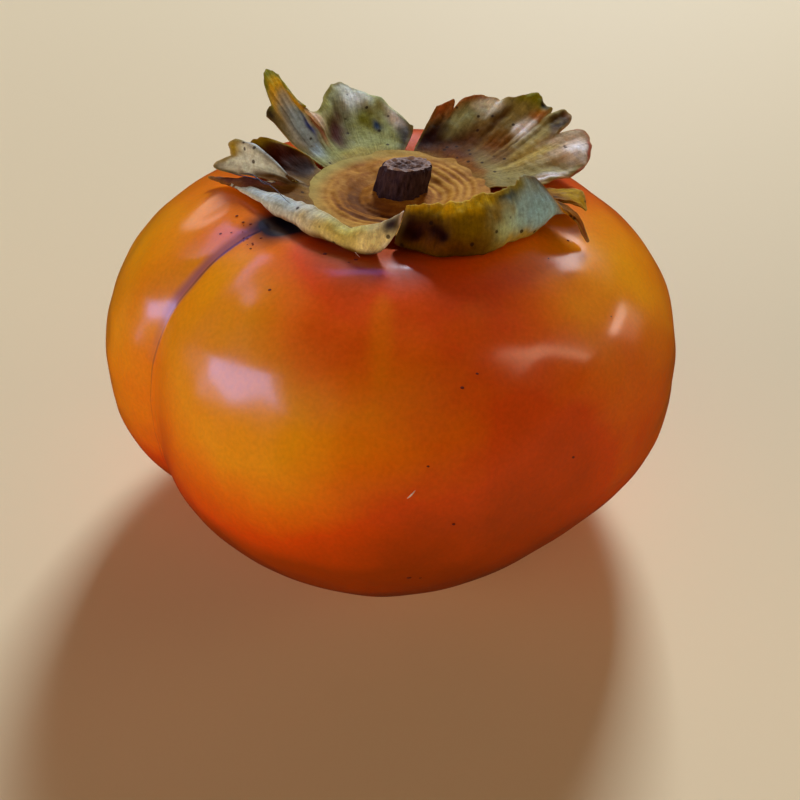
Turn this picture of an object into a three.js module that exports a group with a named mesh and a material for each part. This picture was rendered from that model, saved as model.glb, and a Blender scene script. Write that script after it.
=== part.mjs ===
// A squat, lobed persimmon with its dried calyx and a stub of stalk.
// Millimetres, +Z up. The fruit stands on its underside at z = 0, and the origin is the middle of its plan.
import * as THREE from 'three';

const DEG = Math.PI / 180;

// ---------------------------------------------------------------- driving dimensions
const PLAN = { x: 0.66, y: -0.4 }; // where the axis of the fruit crosses its widest level
const FRUIT = {
  radius: 38.6, // half of the width at the widest level
  shoulder: 28.2, // rise from the widest level to the undipped crown
  keel: 25, // drop from the widest level to the pointed end of the full curve
  trim: 2.2, // how much of that end is flattened off to stand on
  shoulderPower: 2.55, // above 2 the shoulders are square, as on a flat-topped fruit
  keelPower: 1.9, // below 2 the underside tapers
  lean: -0.03, // sideways drift of the axis towards +X per millimetre of height
  dip: 3.6, // depth of the seat of the calyx
  dipRadius: 14,
  navel: 2, // depth of the hollow at the blossom end
  navelRadius: 5,
};
// Valleys between the lobes: azimuth, depth as a share of the radius, half width in degrees on the
// side of smaller and of larger azimuth, and how rounded the bottom is (0 is a sharp crease).
const VALLEYS = [
  { azimuth: 211, depth: 0.12, widths: [11, 16], round: 0.08 },
  { azimuth: 304, depth: 0.022, widths: [18, 18], round: 0.8 },
  { azimuth: 28, depth: 0.03, widths: [18, 18], round: 0.7 },
  { azimuth: 112, depth: 0.035, widths: [18, 18], round: 0.6 },
];
// Swellings of single lobes: azimuth, share of the radius, half width in degrees.
const SWELLS = [
  { azimuth: 10, share: 0.008, width: 30 },
  { azimuth: 160, share: 0.05, width: 30 },
  { azimuth: 196, share: 0.025, width: 14 },
  { azimuth: 240, share: -0.02, width: 30 },
  { azimuth: 305, share: -0.08, width: 30 },
];
// The middle of the calyx. Heights on the calyx are counted from here, the floor of the dip.
const CALYX = { x: PLAN.x + 0.3, y: PLAN.y, z: 47.4 };
const DISC = {
  radius: 11,
  edge: 2.1, // height of the raised edge
  floor: 1.5, // height of the flat round the stalk
  hollow: 0.5, // depth of the hollow ring round the stalk
  hollowRadius: 5.2,
  ridges: 0.14, // half height of the growth rings
  ridgeSpacing: 1.3,
  clearance: 0.5, // above the floor of the dip
};
const STALK = {
  x: 0.1,
  y: 1.4,
  base: 3.35, // radius where it leaves the disc
  top: 2.9, // radius of the cut end
  height: 2.9,
  leanX: 0.9, // how far the cut end stands to the right of the base
  slant: 0.24, // fall of the cut towards the back
};
const TIP = { radius: 1.1, length: 0.9, sink: 0.8 }; // sink: how far its root hangs under the navel
const GAP = 0.35; // clearance between neighbouring pieces
const SEPAL = { thickness: 0.9, edge: 0.5 };

// Each sepal is a net of ribs. A rib runs from the disc to the outer edge of the sepal through points
// of azimuth (degrees), distance from the middle of the calyx, and height.
const SEPALS = {
  sepal_front_left: [
    [[266, 11.4, 2.0], [268, 13.4, 1.9], [270, 15.2, 2.6], [271, 15.0, 4.2], [269, 13.7, 5.0]],
    [[250, 11.4, 2.0], [251, 13.4, 1.9], [251, 15.4, 2.3], [251, 15.0, 3.7], [251, 13.3, 4.5]],
    [[232, 11.4, 2.0], [231, 13.3, 2.1], [229, 14.8, 2.3], [229, 14.6, 3.5], [231, 13.0, 4.4]],
    [[214, 11.4, 2.0], [212, 13.4, 2.1], [210, 15.3, 2.3], [210, 15.2, 3.4], [212, 13.2, 4.2]],
    [[200, 11.5, 2.0], [198, 14.0, 2.2], [196, 16.6, 2.3], [195, 16.9, 3.0], [194, 15.6, 3.6]],
    [[190, 11.5, 2.0], [188, 14.5, 2.8], [182, 18.0, 3.0], [174, 21.8, 2.2], [168, 25.4, 1.1]],
    [[184, 11.6, 2.1], [184, 13.0, 2.8], [184, 14.0, 3.3], [183, 15.0, 3.4], [182, 15.9, 3.2]],
    [[178, 11.7, 2.2], [181, 13.4, 3.6], [177, 16.8, 4.2], [171, 21.0, 3.7], [168, 24.8, 2.7]],
    [[176, 11.8, 2.4], [183, 13.3, 4.0], [177, 15.3, 5.5], [170, 18.6, 6.5], [166, 21.8, 6.4]],
    [[169, 11.8, 2.1], [168, 13.8, 2.4], [167, 16.0, 2.6], [165, 18.5, 3.4], [162, 20.6, 5.4]],
    [[163, 11.8, 2.1], [162, 13.6, 2.6], [161, 15.4, 3.3], [160, 17.2, 4.6], [159, 18.8, 6.0]],
    [[157, 11.8, 2.1], [156, 13.0, 2.5], [155, 14.2, 3.2], [154, 15.4, 4.2], [154, 16.2, 5.0]],
    [[151, 11.8, 2.1], [150, 12.3, 2.3], [149, 12.7, 2.6], [149, 13.1, 2.9], [149, 13.4, 3.2]],
  ],
  sepal_back_left: [
    [[146, 11.8, 2.1], [142, 14.6, 2.6], [141, 17.5, 3.6], [141, 20.2, 4.9], [141, 22.6, 6.3]],
    [[141, 11.8, 2.1], [138, 15.0, 3.0], [136, 19.0, 5.4], [135, 23.4, 8.2], [133, 27.6, 9.4]],
    [[134, 11.8, 2.1], [132, 14.6, 3.2], [131, 17.0, 5.0], [132, 19.0, 6.9], [133, 20.6, 8.0]],
    [[127, 11.8, 2.1], [127, 13.8, 2.6], [127, 15.6, 3.6], [127, 17.2, 4.9], [127, 18.5, 6.2]],
    [[118, 11.8, 2.1], [116, 15.0, 2.8], [114, 18.4, 4.4], [112, 21.4, 6.0], [111, 24.0, 7.2]],
    [[107, 11.8, 2.1], [106, 15.0, 2.8], [105, 18.2, 4.2], [104, 20.8, 5.6], [104, 22.8, 6.2]],
    [[97, 11.8, 2.1], [97, 14.0, 2.6], [97, 16.4, 3.6], [97, 18.6, 4.8], [97, 20.0, 5.2]],
    [[88, 11.7, 2.1], [88, 12.6, 2.4], [88, 13.6, 3.0], [88, 14.8, 3.9], [88, 15.8, 4.6]],
  ],
  sepal_back_right: [
    [[80, 11.7, 2.1], [79, 13.0, 2.6], [77, 14.6, 3.6], [75, 16.2, 4.8], [73, 17.6, 6.2]],
    [[71, 11.7, 2.1], [70, 13.6, 2.7], [68, 16.0, 4.2], [66, 18.0, 5.9], [65, 19.2, 7.0]],
    [[60, 11.7, 2.1], [60, 14.2, 2.8], [59, 16.8, 4.3], [58, 19.2, 6.0], [57, 20.8, 7.3]],
    [[50, 11.7, 2.1], [49, 14.6, 2.8], [48, 17.8, 4.4], [48, 20.6, 6.2], [47, 22.2, 7.5]],
    [[42, 11.7, 2.1], [42, 15.0, 2.8], [42, 19.0, 4.6], [42, 22.6, 6.6], [42, 25.2, 7.8]],
    [[34, 11.7, 2.1], [35, 15.0, 2.6], [36, 19.0, 4.0], [37, 22.8, 5.6], [38, 25.4, 6.6]],
    [[27, 11.7, 2.1], [28, 15.0, 2.5], [30, 19.0, 3.6], [32, 23.4, 5.0], [33, 27.6, 6.0]],
    [[18, 11.7, 2.1], [19, 15.0, 2.3], [20, 19.5, 3.2], [21, 24.0, 4.2], [22, 27.2, 4.2]],
    [[10, 11.7, 2.1], [10, 14.4, 2.1], [10, 18.0, 2.3], [11, 21.6, 2.7], [12, 24.4, 2.6]],
    [[3, 11.7, 2.1], [3, 13.2, 2.1], [3, 15.0, 2.1], [4, 16.8, 2.1], [4, 18.4, 2.1]],
  ],
  sepal_front_right: [
    [[-6, 11.5, 2.0], [-4, 13.0, 2.1], [-2, 14.5, 2.1], [-1, 16.0, 2.1], [0, 17.4, 2.1]],
    [[-14, 11.5, 2.0], [-11, 14.6, 2.2], [-8, 17.6, 2.4], [-5, 20.4, 2.4], [-3, 22.6, 2.2]],
    [[-24, 11.4, 2.0], [-23, 15.0, 2.4], [-22, 18.6, 3.6], [-22, 21.8, 3.0], [-23, 24.4, 0.2]],
    [[-31, 11.4, 2.0], [-31, 15.0, 1.8], [-32, 18.4, 1.8], [-31, 19.6, 4.6], [-31, 17.4, 8.4]],
    [[-46, 11.4, 2.0], [-46, 15.0, 1.8], [-46, 18.0, 2.4], [-44, 18.4, 5.0], [-41, 16.3, 8.3]],
    [[-60, 11.4, 2.0], [-60, 15.0, 1.8], [-60, 18.0, 2.4], [-57, 17.6, 5.0], [-54, 15.0, 7.8]],
    [[-74, 11.4, 2.0], [-74, 14.2, 1.8], [-74, 16.8, 2.4], [-71, 16.2, 4.8], [-68, 13.5, 7.0]],
    [[-86, 11.4, 2.0], [-88, 12.6, 1.9], [-88, 13.2, 2.6], [-87, 13.0, 4.6], [-86, 12.2, 6.6]],
  ],
};

// ---------------------------------------------------------------- shape of the fruit
const angleBetween = (a, b) => ((a - b + 540) % 360) - 180;

function fruitPoint(azimuth, latitude) {
  const c = Math.cos(latitude * DEG);
  const s = Math.sin(latitude * DEG);
  const above = s > 0;
  const power = 2 / (above ? FRUIT.shoulderPower : FRUIT.keelPower);
  let radius = FRUIT.radius * Math.pow(Math.abs(c), power);
  let height = (above ? FRUIT.shoulder : -FRUIT.keel) * Math.pow(Math.abs(s), power);
  let share = 1;
  for (const v of VALLEYS) {
    const off = angleBetween(azimuth, v.azimuth);
    const x = off / v.widths[off > 0 ? 1 : 0];
    const fold = Math.exp(v.round - Math.sqrt(x * x + v.round * v.round));
    share -= v.depth * fold * Math.sqrt(Math.abs(c)) * (0.75 + 0.25 * s);
  }
  for (const w of SWELLS) {
    const x = angleBetween(azimuth, w.azimuth) / w.width;
    share += w.share * Math.exp(-x * x) * c;
  }
  radius *= share;
  height -= FRUIT.dip * Math.exp(-Math.pow(radius / FRUIT.dipRadius, 4)) * (above ? 1 : 0);
  let level = Math.max(height + FRUIT.keel - FRUIT.trim, 0);
  if (!above) level += FRUIT.navel * Math.pow(Math.max(1 - Math.pow(radius / FRUIT.navelRadius, 2), 0), 2);
  const drift = FRUIT.lean * (level - FRUIT.keel);
  return new THREE.Vector3(
    PLAN.x + radius * Math.cos(azimuth * DEG) + drift,
    PLAN.y + radius * Math.sin(azimuth * DEG),
    level,
  );
}

// Height of the upper skin of the fruit over a point of the plan.
function crownHeight(x, y) {
  let level = CALYX.z;
  for (let pass = 0; pass < 3; pass++) {
    const dx = x - PLAN.x - FRUIT.lean * (level - FRUIT.keel);
    const dy = y - PLAN.y;
    const azimuth = Math.atan2(dy, dx) / DEG;
    let low = 0;
    let high = 90;
    for (let step = 0; step < 20; step++) {
      const middle = (low + high) / 2;
      const p = fruitPoint(azimuth, middle);
      const drift = FRUIT.lean * (p.z - FRUIT.keel);
      const reach = Math.hypot(p.x - PLAN.x - drift, p.y - PLAN.y);
      if (reach > Math.hypot(dx, dy)) low = middle;
      else high = middle;
      level = p.z;
    }
  }
  return level;
}

// A closed surface through rings of points, from a bottom point to a top point.
function skin(bottom, rings, top) {
  const n = rings[0].length;
  const points = [bottom, ...rings.flat(), top];
  const at = (ring, k) => 1 + ring * n + (k % n);
  const faces = [];
  for (let k = 0; k < n; k++) {
    faces.push(0, at(0, k + 1), at(0, k));
    for (let r = 0; r + 1 < rings.length; r++) {
      faces.push(at(r, k), at(r, k + 1), at(r + 1, k + 1));
      faces.push(at(r, k), at(r + 1, k + 1), at(r + 1, k));
    }
    faces.push(points.length - 1, at(rings.length - 1, k), at(rings.length - 1, k + 1));
  }
  return closedGeometry(points, faces);
}

function closedGeometry(points, faces) {
  const geometry = new THREE.BufferGeometry().setFromPoints(points);
  geometry.setIndex(faces);
  geometry.computeVertexNormals();
  return geometry;
}

// The points k = 0 to n - 1 of a ring, each made by point(azimuth in degrees).
const ring = (n, point) => Array.from({ length: n }, (_, k) => point((360 * k) / n));

function fruitGeometry() {
  const around = 72;
  const levels = 28;
  const rings = [];
  for (let i = 1; i < levels; i++) {
    const latitude = -90 + (180 * i) / levels;
    rings.push(ring(around, (azimuth) => fruitPoint(azimuth, latitude)));
  }
  return skin(fruitPoint(0, -90), rings, fruitPoint(0, 90));
}

// ---------------------------------------------------------------- calyx
const calyxPoint = (azimuth, radius, height) =>
  new THREE.Vector3(
    CALYX.x + radius * Math.cos(azimuth * DEG),
    CALYX.y + radius * Math.sin(azimuth * DEG),
    CALYX.z + height,
  );

function discTop(radius) {
  const out = radius / DISC.radius;
  const hollow = DISC.hollow * Math.exp(-Math.pow((radius - DISC.hollowRadius) / 1.4, 2));
  const ridge = DISC.ridges * Math.sin((2 * Math.PI * radius) / DISC.ridgeSpacing);
  return DISC.floor + (DISC.edge - DISC.floor) * out * out - hollow + (radius > 6 ? ridge : 0);
}

// The round middle of the calyx: it follows the floor of the dip below and is ringed above.
function discGeometry() {
  const around = 36;
  const under = (radius) =>
    ring(around, (azimuth) => {
      const p = calyxPoint(azimuth, radius, 0);
      p.z = crownHeight(p.x, p.y) + DISC.clearance;
      return p;
    });
  const over = (radius) => ring(around, (azimuth) => calyxPoint(azimuth, radius, discTop(radius)));
  const below = [0.35, 0.65, 0.85, 1].map((share) => under(share * DISC.radius));
  const steps = 16;
  const above = Array.from({ length: steps }, (_, i) => over(DISC.radius * (1 - i / steps)));
  return skin(calyxPoint(0, 0, DISC.clearance), [...below, ...above], calyxPoint(0, 0, discTop(0)));
}

// The stub of stalk: a short cone with a slanted cut.
function stalkGeometry() {
  const around = 24;
  const foot = discTop(0) + GAP;
  const level = (share) => {
    const radius = STALK.base + (STALK.top - STALK.base) * share;
    return ring(around, (azimuth) => {
      const p = calyxPoint(azimuth, radius, foot + STALK.height * share);
      p.z -= STALK.slant * share * radius * Math.sin(azimuth * DEG);
      p.x += STALK.x + STALK.leanX * share;
      p.y += STALK.y;
      return p;
    });
  };
  const bottom = calyxPoint(0, 0, foot);
  bottom.x += STALK.x;
  bottom.y += STALK.y;
  const top = calyxPoint(0, 0, foot + STALK.height);
  top.x += STALK.x + STALK.leanX;
  top.y += STALK.y;
  return skin(bottom, [level(0), level(0.5), level(1)], top);
}

const throughPoints = (points, steps) =>
  new THREE.CatmullRomCurve3(points, false, 'catmullrom', 0.5).getPoints(steps);

// A thin closed sheet through a net of ribs, kept clear of the fruit under it.
function sepalGeometry(net) {
  const along = 2 * (net[0].length - 1);
  const across = 2 * (net.length - 1);
  const ribs = net.map((rib) => throughPoints(rib.map((p) => calyxPoint(...p)), along));
  const rows = Array.from({ length: along + 1 }, (_, j) =>
    throughPoints(ribs.map((rib) => rib[j]), across),
  );
  const middle = (i, j) => rows[Math.min(Math.max(j, 0), along)][Math.min(Math.max(i, 0), across)];
  const top = [];
  const bottom = [];
  for (let j = 0; j <= along; j++) {
    for (let i = 0; i <= across; i++) {
      const p = middle(i, j).clone();
      const acrossStep = middle(i + 1, j).clone().sub(middle(i - 1, j));
      const alongStep = middle(i, j + 1).clone().sub(middle(i, j - 1));
      const normal = acrossStep.cross(alongStep).normalize();
      const inside = Math.min(i, across - i, along - j) / 2;
      const half = (SEPAL.edge + (SEPAL.thickness - SEPAL.edge) * Math.min(inside, 1)) / 2;
      p.z = Math.max(p.z, crownHeight(p.x, p.y) + GAP + half);
      top.push(p.clone().addScaledVector(normal, half));
      bottom.push(p.clone().addScaledVector(normal, -half));
    }
  }
  const count = top.length;
  const at = (i, j) => j * (across + 1) + i;
  const faces = [];
  const quad = (a, b, c, d) => faces.push(a, b, c, a, c, d);
  for (let j = 0; j < along; j++) {
    for (let i = 0; i < across; i++) {
      quad(at(i, j), at(i + 1, j), at(i + 1, j + 1), at(i, j + 1));
      quad(count + at(i, j), count + at(i, j + 1), count + at(i + 1, j + 1), count + at(i + 1, j));
    }
    quad(at(0, j), at(0, j + 1), count + at(0, j + 1), count + at(0, j));
    quad(at(across, j + 1), at(across, j), count + at(across, j), count + at(across, j + 1));
  }
  for (let i = 0; i < across; i++) {
    quad(at(i + 1, 0), at(i, 0), count + at(i, 0), count + at(i + 1, 0));
    quad(at(i, along), at(i + 1, along), count + at(i + 1, along), count + at(i, along));
  }
  return closedGeometry([...top, ...bottom], faces);
}

// The dried remnant of the flower in the hollow of the underside.
function blossomTipGeometry() {
  const around = 12;
  const root = fruitPoint(0, -90);
  const level = (radius, drop) =>
    ring(around, (azimuth) =>
      new THREE.Vector3(
        root.x + radius * Math.cos(azimuth * DEG),
        root.y + radius * Math.sin(azimuth * DEG),
        root.z - TIP.sink - drop,
      ),
    );
  const end = new THREE.Vector3(root.x, root.y, root.z - TIP.sink - TIP.length);
  const start = new THREE.Vector3(root.x, root.y, root.z - TIP.sink);
  const rings = [level(0.3, 0.9 * TIP.length), level(0.7, 0.5 * TIP.length), level(TIP.radius, 0)];
  return skin(end, rings, start);
}

// ---------------------------------------------------------------- assembly
const part = new THREE.Group();

function add(name, geometry, color, roughness) {
  const mesh = new THREE.Mesh(
    geometry,
    new THREE.MeshStandardMaterial({ color, roughness, metalness: 0 }),
  );
  mesh.name = name;
  part.add(mesh);
}

add('fruit', fruitGeometry(), 0xd9560b, 0.35);
add('calyx_disc', discGeometry(), 0xb08a4e, 0.7);
add('stem_stub', stalkGeometry(), 0x3a2424, 0.9);
add('sepal_front_left', sepalGeometry(SEPALS.sepal_front_left), 0xa8a283, 0.6);
add('sepal_back_left', sepalGeometry(SEPALS.sepal_back_left), 0x8d8468, 0.6);
add('sepal_back_right', sepalGeometry(SEPALS.sepal_back_right), 0x8a7a5e, 0.55);
add('sepal_front_right', sepalGeometry(SEPALS.sepal_front_right), 0x93762a, 0.6);
add('blossom_tip', blossomTipGeometry(), 0x2c1d17, 0.9);

export default part;
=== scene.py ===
"""Looks of one ripe persimmon with its dried calyx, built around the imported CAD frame.

Blender works in metres with +Z up; the fruit stands on its underside at z = 0 and the origin is the middle
of its plan. Inside the classes lengths are millimetres and angles are degrees, azimuth running
anticlockwise from +X, and the camera looks along +Y.
"""

from __future__ import annotations

import logging
import math
from dataclasses import dataclass
from enum import Enum
from typing import Any

import bpy
import numpy as np
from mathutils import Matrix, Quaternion, Vector


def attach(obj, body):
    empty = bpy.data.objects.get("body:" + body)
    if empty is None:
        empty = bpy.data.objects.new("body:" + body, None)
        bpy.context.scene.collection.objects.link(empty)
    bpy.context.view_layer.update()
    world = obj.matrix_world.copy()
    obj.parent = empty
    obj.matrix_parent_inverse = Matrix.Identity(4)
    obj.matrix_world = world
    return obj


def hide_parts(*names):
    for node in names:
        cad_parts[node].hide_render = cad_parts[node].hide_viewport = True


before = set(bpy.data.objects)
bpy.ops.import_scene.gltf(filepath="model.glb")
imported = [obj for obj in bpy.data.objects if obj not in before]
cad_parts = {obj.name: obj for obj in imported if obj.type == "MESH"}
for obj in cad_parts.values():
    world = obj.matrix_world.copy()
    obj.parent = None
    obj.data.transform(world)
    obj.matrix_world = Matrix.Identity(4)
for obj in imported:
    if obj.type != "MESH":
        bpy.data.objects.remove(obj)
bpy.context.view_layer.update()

MM = 0.001
LOG = logging.getLogger("persimmon")
Array = np.ndarray
Row = tuple[float, float, float]
Tree = bpy.types.NodeTree
Node = bpy.types.Node
Piece = bpy.types.Object
Material = bpy.types.Material

# Inputs of a Map Range node that take in nearly all the values of a noise texture.
NOISE_SPAN = {1: 0.3, 2: 0.7}
# Level at the deep end of the skin's colours, where 1 is the fully ripened colour all over; beyond 1 the
# colour deepens, partly as painted shade.
RIPEST = 1.6


# ---------------------------------------------------------------- shared tools
def linear(code: str) -> tuple[float, float, float, float]:
    """Turns an sRGB hex colour into the linear colour that a shader takes.

    Args:
        code: the colour as "#rrggbb".

    Returns:
        Linear red, green and blue, and an alpha of 1.
    """
    parts = [int(code[i : i + 2], 16) / 255 for i in (1, 3, 5)]
    r, g, b = (p / 12.92 if p <= 0.04045 else ((p + 0.055) / 1.055) ** 2.4 for p in parts)
    return r, g, b, 1.0


def per(size: float) -> float:
    """Texture scale at which one feature measures this many millimetres."""
    return 1 / (size * MM)


def feed(tree: Tree, node: Node, feeds: dict[int | str, Any]) -> None:
    """Links or sets inputs of a node.

    Args:
        tree: the tree that holds the node.
        node: the node.
        feeds: by input name or number, a socket or node to link from, or the value to keep.
    """
    for key, value in feeds.items():
        source = value.outputs[0] if isinstance(value, Node) else value
        if isinstance(source, bpy.types.NodeSocket):
            tree.links.new(source, node.inputs[key])
        else:
            node.inputs[key].default_value = source


def add(
    tree: Tree,
    kind: str,
    feeds: dict[int | str, Any] | None = None,
    stops: list[tuple[float, str]] | None = None,
    **settings: Any,
) -> Node:
    """Adds one node to a tree with its settings and what feeds it.

    Args:
        tree: the tree that takes the node.
        kind: the node's type name.
        feeds: what its inputs are linked from or set to, by name or number.
        stops: places and hex colours, for a colour ramp.
        settings: the node's own properties.

    Returns:
        The new node.
    """
    made = tree.nodes.new(kind)
    for name, value in settings.items():
        setattr(made, name, value)
    feed(tree, made, feeds or {})
    if stops:
        ramp = made.color_ramp.elements
        while len(ramp) < len(stops):
            ramp.new(1.0)
        for element, (place, code) in zip(ramp, stops):
            element.position, element.color = place, linear(code)
    return made


def new_material(name: str, surface: dict[str, Any]) -> tuple[Material, Tree, Node]:
    """Starts a material.

    Args:
        name: its name.
        surface: values that are the same all over the surface, by the shader's input name.

    Returns:
        The material, its tree and its Principled shader.
    """
    material = bpy.data.materials.new(name)
    material.use_nodes = True
    tree = material.node_tree
    tree.nodes.clear()
    shader = add(tree, "ShaderNodeBsdfPrincipled", surface)
    add(tree, "ShaderNodeOutputMaterial", {"Surface": shader})
    return material, tree, shader


def wrap(angle: Array) -> Array:
    """Angles brought between -180 and 180 degrees."""
    return (angle + 180) % 360 - 180


def bell(x: Array) -> Array:
    """A bell curve of height 1."""
    return np.exp(-x * x)


def step(x: Array, low: float, high: float) -> Array:
    """A smooth change from 0 at low to 1 at high, whichever of the two is larger."""
    t = np.clip((x - low) / (high - low), 0, 1)
    return t * t * (3 - 2 * t)


def ripple(points: Array, length: float, seed: int) -> Array:
    """Smooth unevenness from crossed waves, the same on every run.

    Args:
        points: places, with coordinates along the last axis.
        length: the usual wavelength, in the points' unit.
        seed: picks the pattern.

    Returns:
        Heights that mostly lie between -1 and 1.
    """
    draw = np.random.default_rng(seed)
    waves = 10
    heading = draw.normal(size=(waves, points.shape[-1]))
    heading /= np.linalg.norm(heading, axis=1, keepdims=True)
    shortest, longest = 0.6, 1.6
    pitch = 2 * np.pi / (length * draw.uniform(shortest, longest, waves))
    phase = draw.uniform(0, 2 * np.pi, waves)
    return np.sin(points @ (heading * pitch[:, None]).T + phase).sum(-1) / math.sqrt(2 * waves)


@dataclass(frozen=True)
class Waves:
    """Small unevenness of a surface: its height, its usual wavelength and the seed that picks its pattern."""

    height: float
    length: float
    seed: int

    def over(self, points: Array) -> Array:
        """Heights at places, which are in the wavelength's unit."""
        return self.height * ripple(points, self.length, self.seed)


@dataclass(frozen=True)
class Sector:
    """Directions round an axis in which something is strongest: their middle, half width and its amount."""

    azimuth: float
    width: float
    amount: float = 1.0

    def at(self, azimuth: Array) -> Array:
        """The amount in each direction, fading out on both sides of the middle."""
        return self.amount * bell(wrap(azimuth - self.azimuth) / self.width)


def grid_quads(rows: int, columns: int, closed: bool = False) -> Array:
    """Faces of a grid of points numbered row by row.

    Args:
        rows: number of rows.
        columns: points in a row.
        closed: whether the last row joins the first.

    Returns:
        Four point numbers for each face; it faces along rows x columns.
    """
    i, j = np.meshgrid(np.arange(rows if closed else rows - 1), np.arange(columns - 1), indexing="ij")
    here = i * columns + j
    ahead = (i + 1) % rows * columns + j
    return np.stack([here, ahead, ahead + 1, here + 1], -1).reshape(-1, 4)


def grid_normals(points: Array) -> Array:
    """Unit normals of a grid of points, on the side of rows x columns."""
    square = np.cross(np.gradient(points, axis=0), np.gradient(points, axis=1))
    return square / (np.linalg.norm(square, axis=-1, keepdims=True) + 1e-9)


def closed_tube(grid: Array, low: Array, high: Array) -> tuple[Array, list[Array]]:
    """Closes a tube with a fan of triangles at each end.

    Args:
        grid: the tube's points, round it by along it by 3.
        low: the point in the middle of its first end.
        high: the point in the middle of its last end.

    Returns:
        All points, the two ends last, and the arrays of faces.
    """
    rows, columns = grid.shape[:2]
    count = rows * columns
    k = np.arange(rows)
    following = (k + 1) % rows
    first = np.stack([np.full(rows, count), following * columns, k * columns], -1)
    last = np.stack([np.full(rows, count + 1), (k + 1) * columns - 1, (following + 1) * columns - 1], -1)
    points = np.concatenate([grid.reshape(-1, 3), [low], [high]])
    return points, [grid_quads(rows, columns, True), first, last]


def new_mesh(name: str, points: Array, faces: list[Array], chained: bool = False) -> Piece:
    """Makes an object at the origin with its place in its mesh.

    Args:
        name: the piece's name.
        points: its points, in millimetres.
        faces: arrays of faces, each with its own number of corners.
        chained: whether edges join the points in turn, for a mesh that a node tree turns into a surface.

    Returns:
        The object, smooth shaded.
    """
    mesh = bpy.data.meshes.new(name)
    places = (points.reshape(-1, 3) * MM).tolist()
    edges = [(i, i + 1) for i in range(len(places) - 1)] if chained else []
    mesh.from_pydata(places, edges, [face for group in faces for face in group.tolist()])
    mesh.shade_smooth()
    mesh.update()
    piece = bpy.data.objects.new(name, mesh)
    bpy.context.scene.collection.objects.link(piece)
    return piece


def set_attribute(piece: Piece, name: str, values: Array) -> None:
    """Stores one number, vector or colour at each point of a piece, for its material or node tree.

    Args:
        piece: the piece.
        name: the attribute's name.
        values: one row for each point.
    """
    width = 1 if values.ndim == 1 else values.shape[-1]
    kind, key = {1: ("FLOAT", "value"), 3: ("FLOAT_VECTOR", "vector"), 4: ("FLOAT_COLOR", "color")}[width]
    made = piece.data.attributes.new(name, kind, "POINT")
    made.data.foreach_set(key, values.astype(np.float32).ravel())


def new_geometry_tree(name: str, sizes: dict[str, float | int]) -> tuple[Tree, Node]:
    """Starts a geometry tree with one geometry input, named number inputs and a material input.

    Args:
        name: the tree's name.
        sizes: inputs and their default values; whole numbers make whole-number inputs.

    Returns:
        The tree and its input node.
    """
    tree = bpy.data.node_groups.new(name, "GeometryNodeTree")
    tree.interface.new_socket("Geometry", in_out="INPUT", socket_type="NodeSocketGeometry")
    for key, value in sizes.items():
        kind = "NodeSocketInt" if isinstance(value, int) else "NodeSocketFloat"
        tree.interface.new_socket(key, in_out="INPUT", socket_type=kind).default_value = value
    tree.interface.new_socket("Material", in_out="INPUT", socket_type="NodeSocketMaterial")
    tree.interface.new_socket("Geometry", in_out="OUTPUT", socket_type="NodeSocketGeometry")
    return tree, tree.nodes.new("NodeGroupInput")


def end_geometry_tree(tree: Tree, last: Node, source: Node) -> None:
    """Ends a tree in Realize Instances, smooth shading and Set Material.

    Args:
        tree: the tree.
        last: the node whose geometry is the result.
        source: the tree's input node.
    """
    real = add(tree, "GeometryNodeRealizeInstances", {"Geometry": last})
    smooth = add(tree, "GeometryNodeSetShadeSmooth", {"Geometry": real})
    finish = source.outputs["Material"]
    painted = add(tree, "GeometryNodeSetMaterial", {"Geometry": smooth, "Material": finish})
    add(tree, "NodeGroupOutput", {"Geometry": painted})


def grow(piece: Piece, tree: Tree, values: dict[str, Any]) -> None:
    """Runs a geometry tree on a piece and keeps the result as its plain mesh, with no modifier.

    Args:
        piece: the object that holds the tree's starting mesh.
        tree: the geometry tree.
        values: what its inputs are set to, by name.
    """
    modifier = piece.modifiers.new(tree.name, "NODES")
    modifier.node_group = tree
    for item in tree.interface.items_tree:
        if item.item_type == "SOCKET" and item.in_out == "INPUT" and item.name in values:
            modifier[item.identifier] = values[item.name]
    depsgraph = bpy.context.evaluated_depsgraph_get()
    mesh = bpy.data.meshes.new_from_object(piece.evaluated_get(depsgraph))
    piece.modifiers.clear()
    piece.data = mesh


def settle(piece: Piece, slot: str, *nodes: str) -> None:
    """Makes a piece ride on the fruit and reports it.

    Args:
        piece: the piece.
        slot: the name of its material slot; not used.
        nodes: the CAD nodes that it stands for.
    """
    if nodes:
        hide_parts(*nodes)
    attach(piece, "root")
    LOG.info("%s: %d points, %d faces", piece.name, len(piece.data.vertices), len(piece.data.polygons))


# ---------------------------------------------------------------- splines through nets of points
def spline_weights(count: int, place: Array) -> tuple[Array, Array]:
    """Weights of a Catmull-Rom spline through evenly spaced points.

    Args:
        count: how many points it passes through.
        place: where to evaluate it, 0 at the first point and 1 at the last.

    Returns:
        For each place the four padded point numbers and their weights.
    """
    at = place * (count - 1)
    start = np.clip(at.astype(int), 0, count - 2)
    t = (at - start)[..., None]
    weights = np.concatenate(
        [-t + 2 * t**2 - t**3, 2 - 5 * t**2 + 3 * t**3, t + 4 * t**2 - 3 * t**3, t**3 - t**2], -1
    )
    return start[..., None] + np.arange(4), weights / 2


def mirror_ends(points: Array) -> Array:
    """Points with one more at each end of the first axis, mirrored through the last ones."""
    return np.concatenate([[2 * points[0] - points[1]], points, [2 * points[-1] - points[-2]]])


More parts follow.
